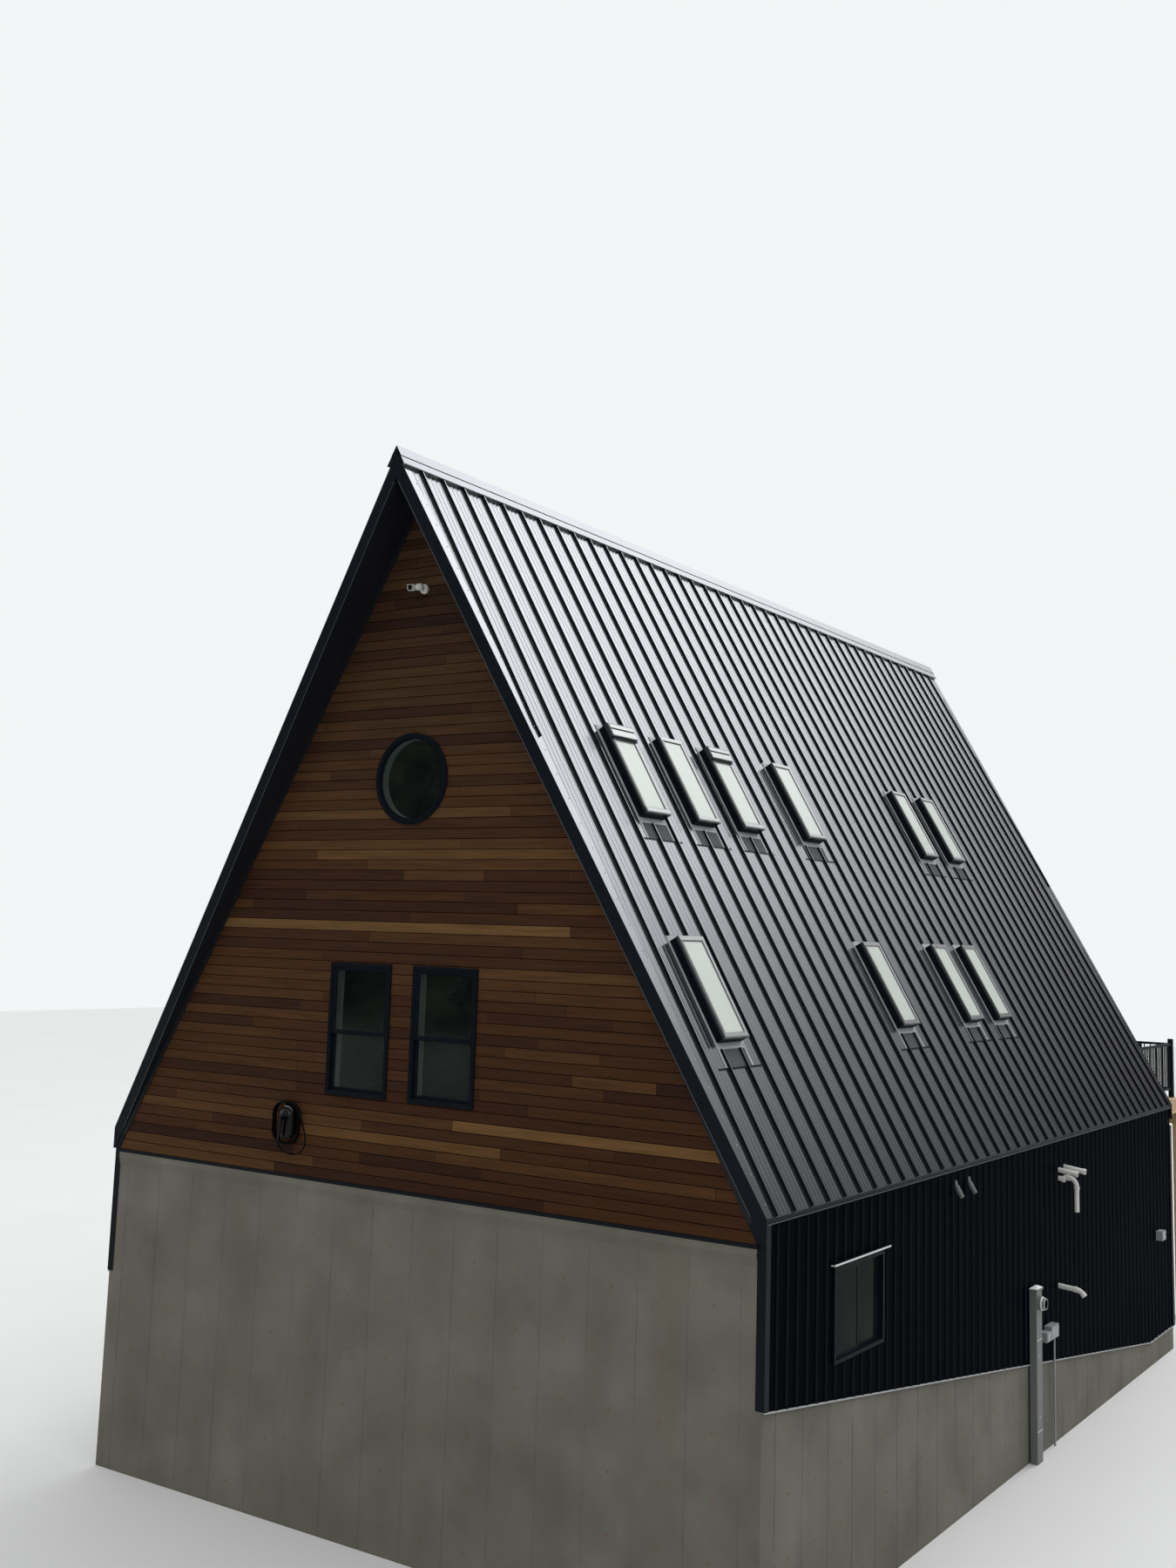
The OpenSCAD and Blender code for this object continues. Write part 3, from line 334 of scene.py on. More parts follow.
def skylight_glass_look():
    """Sealed panes, coloured pale all over as a painted reflection of the bright sky."""
    k = Look("skylight_panes", 0.08, 0.0, Specular_IOR_Level=0.25)
    # painted reflection: a pale colour for the sky the panes mirror
    k.colour(k.mix(k.noise(0.9, 3), (0.46, 0.50, 0.455), (0.56, 0.60, 0.545)))
    return k.bump(k.noise(2.0, 1), 0.06, 0.01)


CEDAR = cedar_look("cedar_boards", (1.3, 20, 26))
ROOF = roof_look()
RIDGE = coated_look("ridge_coating", (0.150, 0.154, 0.166), (0.210, 0.214, 0.228), 0.26, 0.8, scale=2.0)
SIDING = coated_look("siding_black", (0.0007, 0.0013, 0.0024), (0.0015, 0.0026, 0.0040), 0.42, gloss=0.003)
# a lighter finish that paints light on one side of the siding's ribs
SIDING_LIT_SIDES = coated_look("siding_rib_sides_painted_light", (0.007, 0.01, 0.0145), (0.012, 0.016, 0.0215), 0.42, gloss=0.01)
TRIM = coated_look("trim_black", (0.0050, 0.0070, 0.0095), (0.0085, 0.0115, 0.0150), 0.40, gloss=0.05)
HEM = coated_look("hem_grey", (0.030, 0.037, 0.043), (0.045, 0.053, 0.060), 0.45, gloss=0.2)
# near-black finish that paints shade on the seams' sides, the folds' sides and the ridge cap's joints
SEAM_SHADE = coated_look("seam_sides_painted_shade", (0.004, 0.005, 0.007), (0.007, 0.008, 0.011), 0.5, gloss=0.12)
SOFFIT = coated_look("soffit_black", (0.006, 0.007, 0.009), (0.010, 0.011, 0.014), 0.55, gloss=0.2)
FRAME = coated_look("frame_black", (0.004, 0.006, 0.009), (0.006, 0.0085, 0.012), 0.4, scale=4.0, gloss=0.03)
SKY_FRAME = coated_look("skylight_frame_grey", (0.034, 0.035, 0.036), (0.058, 0.059, 0.06), 0.3, 0.3, 0.4, 5)
# darker finish that paints shade on the flanks of the panels' waves
WAVE_SHADE = coated_look("wave_sides_painted_shade", (0.060, 0.062, 0.068), (0.085, 0.088, 0.095), 0.3, 0.8, 0.2)
# the covers' finish, also the painted highlight on the beads' faces square to the slope
SKY_COVER_AND_HIGHLIGHT = coated_look("skylight_cover", (0.20, 0.20, 0.198), (0.29, 0.29, 0.286), 0.28, 0.8, 0.3, 5.0)
# pale paint, and the painted highlight on the slider flashings and the lips over the sliding windows
PALE_PAINT_AND_HIGHLIGHT = coated_look("pale_paint_and_painted_highlight", (0.56, 0.57, 0.56), (0.70, 0.71, 0.70), 0.4, 0.0, 0.0, 4.0)
JAMB = coated_look("jamb_white", (0.50, 0.52, 0.49), (0.62, 0.63, 0.60), 0.5, 0.0, 0.0, 3.0)
TIE = coated_look("tie_rust", (0.10, 0.05, 0.025), (0.20, 0.11, 0.06), 0.8, 0.0, 0.0, 20.0)
FLASHING = coated_look("flashing_grey", (0.30, 0.31, 0.32), (0.42, 0.43, 0.44), 0.5, 0.0, 0.0, 6.0, 0.3)
PALE_METAL = coated_look("mill_metal", (0.50, 0.51, 0.51), (0.66, 0.67, 0.67), 0.3, 0.8, 0.0, 5.0)
DARK_PAN = coated_look("flashing_pan", (0.060, 0.068, 0.068), (0.085, 0.093, 0.092), 0.6, gloss=0.06)
VENT = coated_look("vent_grey", (0.10, 0.105, 0.105), (0.16, 0.165, 0.165), 0.5, 0.3, 0.0, 9.0)
CONCRETE = concrete_look()
SHEATHING = timber_look("sheathing", (0.16, 0.11, 0.065), (0.24, 0.17, 0.10), (3, 3, 14))
FLOORING = timber_look("floor_boards", (0.30, 0.19, 0.10), (0.42, 0.28, 0.16), (16, 1.5, 10))
DECK = timber_look("deck_timber", (0.34, 0.235, 0.135), (0.48, 0.35, 0.215), (1.6, 22, 22), 0.7, True)
DECK_FRAME = timber_look("deck_framing", (0.36, 0.26, 0.14), (0.52, 0.38, 0.22), (8, 8, 12))
WHITE = plastic_look("white_plastic", (0.50, 0.50, 0.47), (0.60, 0.60, 0.57), 0.4)
BLACK_GLOSS = plastic_look("black_gloss", (0.003, 0.003, 0.0035), (0.006, 0.006, 0.0065), 0.09, 30, 0.5, 0.5)
BLACK = plastic_look("black_plastic", (0.0025, 0.0025, 0.003), (0.0055, 0.0055, 0.006), 0.16, 30, 0.12, 0.07)
RUBBER = plastic_look("cable_rubber", (0.0025, 0.0025, 0.003), (0.005, 0.005, 0.0055), 0.45, 60.0, 0.0, 0.03)
GREY = coated_look("enclosure_grey", (0.22, 0.23, 0.235), (0.30, 0.31, 0.315), 0.42, 0.2, 0.0, 5.0)
POST_GREY = coated_look("post_grey", (0.125, 0.132, 0.130), (0.175, 0.182, 0.178), 0.5, 0.2, 0.0, 3.0)
WINDOW_GLASS = window_glass_look()
SHADED_PANES = shaded_panes_look()
SKY_GLASS = skylight_glass_look()

NODE_LOOKS = {
    CONCRETE: ["foundation", "lower_floor"],
    SHEATHING: ["side_walls", "rear_lower_wall", "front_gable_wall", "rear_gable_wall", "roof_decks"],
    FLOORING: ["main_floor", "loft_floor"],
    SIDING: ["lower_siding"],
    TRIM: ["wall_trims", "rake_trims", "eave_flashings", "deck_railing_rear", "deck_railing_right",
           "deck_railing_left"],
    SOFFIT: ["soffits"],
    ROOF: ["roof_metal"],
    RIDGE: ["ridge_cap"],
    SKY_FRAME: ["skylight_frames"],
    SKY_GLASS: ["skylight_glass"],
    FLASHING: ["skylight_flashings"],
    FRAME: ["gable_window_frames", "round_window_frames", "slider_frames", "window_sashes", "rear_door"],
    WINDOW_GLASS: ["window_glass"],
    VENT: ["exhaust_vents"],
    # painted highlight: the slider flashings' pale faces stand in for light catching them
    PALE_PAINT_AND_HIGHLIGHT: ["slider_flashings"],
    DECK_FRAME: ["deck_frame", "deck_beam", "deck_posts"],
    WHITE: ["security_camera", "pvc_pipes"],
    BLACK: ["wall_charger"],
    GREY: ["service_boxes"],
    POST_GREY: ["meter_pedestal"],
}
for material, names in NODE_LOOKS.items():
    for name in names:
        NODES[name].data.materials.clear()
        NODES[name].data.materials.append(material)


# a face counts as square to an axis where its normal's part along it is larger than this
SQUARE = 0.9


def second_finish(mesh, material, chosen):
    """Gives a second finish to the faces that chosen picks by their normal and middle."""
    mesh.materials.append(material)
    for polygon in mesh.polygons:
        if chosen(polygon.normal, polygon.center):
            polygon.material_index = len(mesh.materials) - 1


for name, material, chosen in (
        # painted shade: the seams' sides, square to Y, take the near-black finish, though they are the same
        # coating
        ("roof_metal", SEAM_SHADE, lambda n, c: abs(n.y) > SQUARE),
        # painted shade: the lower storey's panes take the near-black finish
        ("window_glass", SHADED_PANES, lambda n, c: c.z < EAVE),
        # painted light: the sides of the siding's ribs that face forwards, and those that face right on the
        # rear wall, take a lighter finish
        ("lower_siding", SIDING_LIT_SIDES, lambda n, c: n.y < -0.3 or (c.y > REAR_FACE + 0.006 and n.x > 0.3)),
        ("ridge_cap", TRIM, lambda n, c: abs(n.y) > SQUARE),
        # the slanting cap of the meter's post
        ("meter_pedestal", PALE_PAINT_AND_HIGHLIGHT, lambda n, c: n.z > 0.3 and c.z > EAVE - 2.0),
        ("slider_flashings", TRIM, lambda n, c: abs(n.z) > SQUARE),
        # the faces of the rear door's pane lie between those of its leaf
        ("rear_door", WINDOW_GLASS, lambda n, c: abs(n.y) > SQUARE and abs(c.y - REAR_FACE + 0.028) < 0.008),
        ("rake_trims", ROOF, lambda n, c: square_to_slope(n) > SQUARE)):
    second_finish(NODES[name].data, material, chosen)


# CAD nodes whose edges a modifier rounds, by its width
SOFT_EDGES = {
    0.002: ["pvc_pipes"],
    0.003: ["gable_window_frames", "round_window_frames", "slider_frames", "window_sashes"],
    0.004: ["meter_pedestal", "skylight_frames"],
    0.006: ["service_boxes", "deck_posts"],
}
for width, names in SOFT_EDGES.items():
    for name in names:
        m = NODES[name].modifiers.new("soft_edges", "BEVEL")
        m.width = width
        m.segments = 2
        m.limit_method = "ANGLE"
        m.angle_limit = math.radians(40)
        m.harden_normals = False


class Shapes:
    """Gathers closed shapes, with a tone for each, into one mesh."""

    def __init__(self):
        self.verts, self.faces, self.tones = [], [], []

    def loft(self, rings, tone=0.5, wrap=False, last_tone=None):
        """Joins closed rings of equally many points, capped at both ends or wrapped round to the first."""
        n = len(rings[0])
        faces = []
        for k in range(len(rings) - 1 + wrap):
            c = (k + 1) % len(rings)
            for j in range(n):
                i = (j + 1) % n
                faces.append((k * n + j, k * n + i, c * n + i, c * n + j))
        if not wrap:
            faces.append(tuple(reversed(range(n))))
            faces.append(tuple((len(rings) - 1) * n + j for j in range(n)))
        first = len(self.verts)
        self.verts += [tuple(p) for r in rings for p in r]
        self.faces += [tuple(first + i for i in f) for f in faces]
        self.tones += [tone] * len(faces)
        if last_tone is not None:
            # the sides between the last two rings, before the two caps
            end = len(self.tones) - 2
            self.tones[end - n:end] = [last_tone] * n

    def box(self, lo, hi, edge=0.0, tone=0.5, at=lambda p: p):
        """A box with its edges cut off, its corners mapped by at."""
        (x0, y0, z0), (x1, y1, z1) = lo, hi
        e = min(edge, (x1 - x0) / 3, (y1 - y0) / 3, (z1 - z0) / 3)
        rings = []
        for z, i in ((z0, e), (z0 + e, 0), (z1 - e, 0), (z1, e)) if e else ((z0, 0), (z1, 0)):
            ring = []
            for x, y, sx, sy in ((x0, y0, 1, 1), (x1, y0, -1, 1), (x1, y1, -1, -1), (x0, y1, 1, -1)):
                px, py = x + sx * i, y + sy * i
                if e:
                    a, b = (px + sx * e, py), (px, py + sy * e)
                    ring += [b, a] if sx * sy > 0 else [a, b]
                else:
                    ring.append((px, py))
            rings.append([at((u, v, z)) for u, v in ring])
        self.loft(rings, tone)

    def mitred(self, u, v, profile, at):
        """A ring of mitred lengths round the rectangle u by v: profile lists (inset, depth)."""
        rings = [[at((u[0] + i, v[0] + i, d)), at((u[1] - i, v[0] + i, d)), at((u[1] - i, v[1] - i, d)),
                  at((u[0] + i, v[1] - i, d))] for i, d in profile]
        self.loft(rings, wrap=True)

    def turned(self, centre, profile):
        """A closed ring turned about a line along Y: profile lists (y, radius)."""
        x, z = centre
        self.loft([[(x + r * c, y, z + r * s) for c, s in circle(72)] for y, r in profile], wrap=True)

    def disc(self, a, b, profile, sides=24):
        """Turned shape along the line from a to b: profile lists (place along it, radius)."""
        a, b = Vector(a), Vector(b)
        h = (b - a).normalized()
        u = h.orthogonal().normalized()
        v = h.cross(u)
        self.loft([[a + (b - a) * t + r * (c * u + s * v) for c, s in circle(sides)] for t, r in profile])

    def build(self, name, material, slot, replaces=(), smooth=False):
        mesh = bpy.data.meshes.new(name)
        mesh.from_pydata(self.verts, [], self.faces)
        bm = bmesh.new()
        bm.from_mesh(mesh)
        bmesh.ops.recalc_face_normals(bm, faces=bm.faces)
        bm.to_mesh(mesh)
        bm.free()
        tones = mesh.attributes.new("tone", "FLOAT", "FACE")
        tones.data.foreach_set("value", self.tones)
        if smooth:
            mesh.shade_smooth()
            mesh.set_sharp_from_angle(angle=math.radians(35))
        mesh.materials.append(material)
        return make_piece(name, mesh, replaces)


def circle(sides):
    """Points round a circle of radius 1."""
    return [(math.cos(q), math.sin(q)) for q in (2 * math.pi * j / sides for j in range(sides))]


def make_piece(name, data, replaces=()):
    """A new object that rides on the cabin's one body."""
    obj = new_object(name, data)
    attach(obj, "root")
    if replaces:
        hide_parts(*replaces)
    return obj


# The charger's cable, from its gland through the coil to the connector, as in the part's source
CORE_BACK = -0.145
CHARGER_FRONT = -0.278
CHARGER_X = -1.642
CABLE = 0.018
LEAD_BEND = 0.082
LEAD_Y = CORE_BACK - 0.015
GLAND = Vector((CHARGER_X, LEAD_Y, 4.440))
COIL_MIDDLE = (-1.702, 4.6035)
COIL_HALF = (0.205, 0.2455)
COIL_CORNER = 0.161
COIL_TURNS = 3
COIL_EXIT = 45
ARC_STEPS = 12
LOOP_POINTS = [(-1.543, -0.083, 0.554), (-1.478, -0.088, 0.506), (-1.421, -0.094, 0.436),
               (-1.376, -0.099, 0.346), (-1.341, -0.101, 0.262), (-1.322, -0.102, 0.176),
               (-1.338, -0.103, 0.098), (-1.392, -0.105, 0.038), (-1.470, -0.107, 0.008),
               (-1.556, -0.112, 0.0), (-1.638, -0.126, 0.020), (-1.694, -0.147, 0.068),
               (-1.715, -0.165, 0.126)]
# from the cable's end to the connector's grip, to two points inside its handle, and to its head
GRIP = Vector((0.014, -0.008, 0.060))
HANDLE = [GRIP, Vector((0.024, -0.010, 0.120)), Vector((0.033, -0.011, 0.185))]
HEAD = Vector((0.044, -0.012, 0.290))


def smooth_line(points, steps):
    """A smooth line through the points, as in the part's source."""
    p = [Vector(q) for q in points]
    out = []
    for k in range(steps * (len(p) - 1) + 1):
        i = min(k // steps, len(p) - 2)
        t = k / steps - i
        a, b, c, d = p[max(i - 1, 0)], p[i], p[i + 1], p[min(i + 2, len(p) - 1)]
        cubic = 1.5 * b - a / 2 - 1.5 * c + d / 2
        out.append(b + t * ((c - a) / 2 + t * (a - 2.5 * b + 2 * c - d / 2 + t * cubic)))
    return out


def coil_line(start_x):
    """The turns of the coil, clockwise from the front: bottom, left, top, right."""
    (mx, mz), (hx, hz), r = COIL_MIDDLE, COIL_HALF, COIL_CORNER
    loop = []
    for cx, cz, first in ((mx - hx + r, mz - hz + r, 270), (mx - hx + r, mz + hz - r, 180),
                          (mx + hx - r, mz + hz - r, 90), (mx + hx - r, mz - hz + r, 0)):
        for k in range(ARC_STEPS + 1):
            a = math.radians(first - 90 * k / ARC_STEPS)
            loop.append((cx + r * math.cos(a), cz + r * math.sin(a)))
    # the last turn ends part of the way round its third corner
    stop = 2 * (ARC_STEPS + 1) + round((90 - COIL_EXIT) / 90 * ARC_STEPS)
    whole = [(start_x, mz - hz)] + COIL_TURNS * loop + loop[:stop]
    length = [0.0]
    for a, b in zip(whole, whole[1:]):
        length.append(length[-1] + math.dist(a, b))
    y1 = CORE_BACK + LOOP_POINTS[0][1]
    return [Vector((x, LEAD_Y + (y1 - LEAD_Y) * s / length[-1], z)) for (x, z), s in zip(whole, length)]


def make_cable():
    """The cable with the place of its end and its length. It runs on inside the connector's handle."""
    lead = [Vector((GLAND.x - LEAD_BEND + LEAD_BEND * math.cos(a), LEAD_Y, GLAND.z - LEAD_BEND * math.sin(a)))
            for a in (math.radians(9 * k) for k in range(10))]
    loop = smooth_line([(x, CORE_BACK + y, EAVE + z) for x, y, z in LOOP_POINTS], 4)
    line = lead + coil_line(GLAND.x - LEAD_BEND) + loop + [loop[-1] + step for step in HANDLE]
    data = bpy.data.curves.new("charger_cable", "CURVE")
    data.dimensions = "3D"
    data.bevel_depth = CABLE / 2
    data.bevel_resolution = 3
    data.use_fill_caps = True
    spline = data.splines.new("POLY")
    spline.points.add(len(line) - 1)
    for point, p in zip(spline.points, line):
        point.co = (*p, 1)
    spline.use_smooth = True
    data.materials.append(RUBBER)
    obj = make_piece("charger_cable", data, ["charger_coil", "cable_lead", "cable_loop"])
    return obj, loop[-1], sum((b - a).length for a, b in zip(line, line[1:]))


def make_connector(end):
    """Boot, handle and nose of the charging connector."""
    s = Shapes()
    grip, head = end + GRIP, end + HEAD
    s.disc(end, grip, [(0, 0.0105), (0.15, 0.013), (0.3, 0.0115), (0.45, 0.0135), (0.6, 0.012),
                       (0.75, 0.0145), (1.0, 0.016)], 20)
    s.disc(grip, head, [(-0.03, 0.010), (0.0, 0.0165), (0.12, 0.019), (0.5, 0.0185), (0.8, 0.021),
                        (0.97, 0.024), (1.04, 0.020), (1.08, 0.010)])
    nose = Vector((head.x, CHARGER_FRONT, head.z))
    tip = Vector((head.x, head.y - 0.028, head.z))
    s.disc(tip, nose, [(0, 0.016), (0.06, 0.023), (0.12, 0.026), (0.5, 0.027), (0.52, 0.0255), (0.9, 0.0255),
                       (0.92, 0.031), (1.0, 0.031)], 28)
    return s.build("connector_body", BLACK, "black_plastic", ["charger_connector"], smooth=True)


def rounded(x, z, half_x, half_z, corner, y):
    """A rounded rectangle square to Y, as a ring of points."""
    ring = []
    for sx, sz, first in ((1, 1, 0), (-1, 1, 90), (-1, -1, 180), (1, -1, 270)):
        for k in range(9):
            a = math.radians(first + 90 * k / 8)
            ring.append((x + sx * (half_x - corner) + corner * math.cos(a), y,
                         z + sz * (half_z - corner) + corner * math.sin(a)))
    return ring


def make_charger():
    """The wall charger: a core on the boards, a domed cover, the cable's gland and the hook for its turns."""
    s = Shapes()
    x, z, half_x, half_z, corner = CHARGER_X, EAVE + 0.375, 0.108, 0.195, 0.090
    low, high = EAVE + 0.220, EAVE + 0.545
    s.loft([rounded(x, (low + high) / 2, 0.085, (high - low) / 2, 0.030, y) for y in (CORE_BACK, -0.250)])
    s.loft([rounded(x, z, half_x - i, half_z - i, corner - i * 0.8, y) for i, y in
            ((0.006, -0.245), (0.0, -0.250), (0.0, -0.260), (0.003, -0.266), (0.009, -0.271),
             (0.018, -0.2745), (0.032, -0.277), (0.050, CHARGER_FRONT))])
    # the hook's top carries the coil's upper run
    hook = 0.022
    hook_x, hook_z = COIL_MIDDLE[0], COIL_MIDDLE[1] + COIL_HALF[1] - CABLE / 2 - hook
    s.disc((hook_x, -0.246, hook_z), (hook_x, CORE_BACK, hook_z), [(0, 0.020), (0.05, hook), (1, hook)])
    s.disc(GLAND, (x, LEAD_Y, low + 0.005), [(0, 0.011), (0.15, 0.014), (0.45, 0.014), (0.5, 0.0125),
                                             (0.6, 0.0125), (0.65, 0.014), (1, 0.014)], 16)
    shell = s.build("charger_shell", BLACK, "black_plastic", ["wall_charger"], smooth=True)
    second_finish(shell.data, BLACK_GLOSS, lambda n, c: c.y < -0.255 and c.z > z + 0.10)


make_charger()
cable, cable_end, cable_length = make_cable()
connector = make_connector(cable_end)


# The boarding of the gables. A window or door is its left edge, right edge, sill and head.
ROW = 0.123
GROOVE = 0.0045
WINDOW_HALF = 0.481
WINDOWS = [(x - WINDOW_HALF, x + WINDOW_HALF, 4.993, 6.565) for x in (-0.65, 0.65)]
DOOR = (2.15, 3.07, FLOOR_TOP, 6.24)
ROUND_AT = (0.0, 8.78)
ROUND_R = 0.526


def roof_line(z):
    """Half the width between the lines of the roof's undersides at a height."""
    return HALF - (z - EAVE + ROOF_DEEP) / math.tan(PITCH)


def boards_reach(z):
    """Half the width of the boarding at a height: upright to the floor, and cut by the roof above it."""
    return BOARDS_X if z < FLOOR_TOP else roof_line(z)


def parted(spans, low, high, left_end, right_start, mark=False):
    """Parts each span (left, right, its ends' marks) that meets low to high, and marks the new ends."""
    out = []
    for left, right, left_mark, right_mark in spans:
        if left < high and right > low:
            out.append((left, min(right, left_end), left_mark, mark))
            out.append((max(left, right_start), right, mark, right_mark))
        else:
            out.append((left, right, left_mark, right_mark))
    return out


def board_end(side, x, at_round, above_floor):
    """Where a board ends at a height: side is 1 right, -1 left. The roof and the round window cut it."""
    def place(z):
        reach = roof_line(z) if above_floor else BOARDS_X
        if at_round:
            reach = min(reach, -math.sqrt(max(0.0, ROUND_R * ROUND_R - (z - ROUND_AT[1]) ** 2)))
        return side * min(side * x, reach)

    return place


def lay_board(s, left, right, a, b, z0, z1, y0, y1, tone):
    """One board from height a to b of the row z0 to z1. It stops where the roof leaves it too narrow."""
    wide_low, wide_high = right(a) - left(a), right(b) - left(b)
    if max(wide_low, wide_high) <= 0.03 and min(wide_low, wide_high) <= 0.02:
        return
    if min(wide_low, wide_high) <= 0.02:
        za, zb = a, b
        for _ in range(24):
            zm = (za + zb) / 2
            if (wide_low > wide_high) == (right(zm) - left(zm) >= 0.012):
                za = zm
            else:
                zb = zm
        a, b = (a, zm) if wide_low > wide_high else (zm, b)
    steps = 7
    zs = [a + (b - a) * k / steps for k in range(steps + 1)]
    ring = [(right(z), z) for z in zs] + [(left(z), z) for z in reversed(zs)]
    # the front edges are chamfered, and those within a row meet flush
    low = a + (GROOVE if a == z0 else 0)
    high = b - (GROOVE if b == z1 else 0)
    inner = [(x + (-GROOVE if i < len(zs) else GROOVE) * 0.4, min(max(z, low), high))
             for i, (x, z) in enumerate(ring)]
    shoulder = y1 - math.copysign(GROOVE * 1.6, y1 - y0)
    rings = [[(x, y, z) for x, z in points] for y, points in ((y0, ring), (shoulder, ring), (y1, inner))]
    # the chamfers' sides get tone 0, which the cedar look paints near-black: painted shade in the grooves
    s.loft(rings, tone, last_tone=0.0)


def gable_boards(name, y0, y1, low, holes, seed, node):
    """Horizontal boards of random lengths and tones, cut round the windows."""
    rng = random.Random(seed)
    s = Shapes()
    joints_before = []
    for row in range(int((APEX - ROOF_DEEP - low) / ROW) + 1):
        z0 = low + row * ROW
        z1 = min(z0 + ROW, APEX - ROOF_DEEP - 0.004)
        if boards_reach(z1) < 0.03:
            break
        reach = boards_reach(z0)
        joints = []
        x = -reach - rng.uniform(0, 2.2)
        while x < reach:
            x += rng.choice((1.2, 1.8, 2.4, 3.0, 3.6, 3.6, 4.2)) * rng.uniform(0.85, 1.1)
            if all(abs(x - j) > 0.25 for j in joints_before):
                joints.append(x)
        joints_before = joints
        drift = rng.gauss(0.0, 0.07)
        tones = [min(1, max(0.05, rng.gauss(0.42, 0.17) + drift)) for _ in range(len(joints) + 1)]
        levels = [FLOOR_TOP] + [v for h in holes for v in h[2:]]
        cuts = sorted({z0, z1} | {v for v in levels if z0 < v < z1})
        edges = [-99.0] + joints + [99.0]
        for a, b in zip(cuts, cuts[1:]):
            mid = (a + b) / 2
            near_round = min(abs(z - ROUND_AT[1]) for z in (a, mid, b)) < ROUND_R
            for tone, x0, x1 in zip(tones, edges, edges[1:]):
                spans = [(x0, x1, False, False)]
                for left, right, sill, head in holes:
                    if sill <= mid <= head:
                        spans = parted(spans, left, right, left, right)
                if near_round:
                    spans = parted(spans, -ROUND_R, ROUND_R, 0.0, 0.0, True)
                for left, right, left_mark, right_mark in spans:
                    ends = (board_end(-1, left, left_mark, mid > FLOOR_TOP),
                            board_end(1, right, right_mark, mid > FLOOR_TOP))
                    lay_board(s, *ends, a, b, z0, z1, y0, y1, tone)
    s.build(name, CEDAR, "cedar", [node])


def rake_dark_strips():
    """The dark strip on the boards along both rakes, and the plate that closes each lower corner."""
    strips, feet = Shapes(), Shapes()
    wide, thick, lap, chamfer = 0.075, 0.012, 0.001, 0.003
    tip = EAVE - ROOF_DEEP + (HALF - wide - BOARDS_X) * math.tan(PITCH)
    top = EAVE - 0.055
    outer = RIB_X + 0.005
    peak = EAVE - ROOF_DEEP + HALF * math.tan(PITCH)
    shoulder = peak - wide * math.tan(PITCH)
    strip = [(roof_line(top) - wide, top), (roof_line(shoulder) - wide, shoulder), (0.0, peak),
             (roof_line(top), top)]
    plate = [(roof_line(tip) - wide, tip), (outer, tip), (outer, top), (roof_line(top) - wide, top)]
    for face, out in ((FRONT_FACE - BOARD, -1), (REAR_FACE + BOARD, 1)):
        front = face + out * thick
        for side in (1, -1):
            for s, ring in ((strips, strip), (feet, plate)):
                back, edge = face - out * lap, front - out * chamfer
                cx = sum(x for x, _ in ring) / len(ring)
                s.loft([[(side * x, back, z) for x, z in ring], [(side * x, edge, z) for x, z in ring],
                        [(side * (x + math.copysign(0.001, cx - x)), front, z) for x, z in ring]])
            x = side * (outer - 0.012)
            for z in (tip + 0.035, top - 0.030):
                a, b = (x, front, z), (x, front + out * 0.004, z)
                feet.disc(a, b, [(0, 0.007), (0.6, 0.007), (1, 0.004)], 8)
    strips.build("rake_dark_strips", SOFFIT, "black_metal")
    feet.build("rake_feet", TRIM, "black_metal")


def front_base():
    """The flashing under the front boards, and the top of the concrete below it."""
    flashing, lip = Shapes(), Shapes()
    face, proud = FRONT_FACE + 0.001, FRONT_FACE - 0.0265
    high, low, foot = FRONT_BOARDS_LOW, FRONT_BOARDS_LOW - 0.040, BOARDS_LOW - 0.021
    nose = proud - 0.002
    ring = [(face, high), (nose, high), (nose, low + 0.003), (nose + 0.004, low), (face, low)]
    flashing.loft([[(x, y, z) for y, z in ring] for x in (-BOARDS_X - 0.006, BOARDS_X + 0.006)])
    ring = [(face, low), (proud, low), (proud, foot), (face, foot - 0.100)]
    lip.loft([[(x, y, z) for y, z in ring] for x in (-BOARDS_X, BOARDS_X)])
    flashing.build("base_flashing", TRIM, "black_metal")
    lip.build("foundation_lip", CONCRETE, "concrete")


gable_boards("boards_front", FRONT_FACE, FRONT_FACE - BOARD, FRONT_BOARDS_LOW, WINDOWS, 11, "front_boarding")
gable_boards("boards_rear", REAR_FACE, REAR_FACE + BOARD, BOARDS_LOW, WINDOWS + [DOOR], 23, "rear_boarding")
rake_dark_strips()
front_base()


def slope_spans(y):
    """Parts of a slope that a line at y crosses without meeting a skylight or a rake trim."""
    foot = SLOPE - 0.008
    for inside in (y - FRONT_EAVE - RAKE_FLANGE, REAR_EAVE - RAKE_FLANGE - y):
        if inside < 0:
            foot = min(foot, SLOPE * (1 + inside / LEAN))
    spans = [(0.206, foot, False, False)]
    for head, row in ((UPPER_ROW, UPPER), (LOWER_ROW, LOWER)):
        for middle in row:
            if abs(y - FRONT_EAVE - middle) < SKY_W / 2 + FLASH_SIDE + 0.012:
                low, high = head - 0.072, head + SKY_L + FLASH_APRON + 0.002
                spans = parted(spans, low, high, low, high)
    return [(u, v) for u, v, *_ in spans if v - u > 0.03]


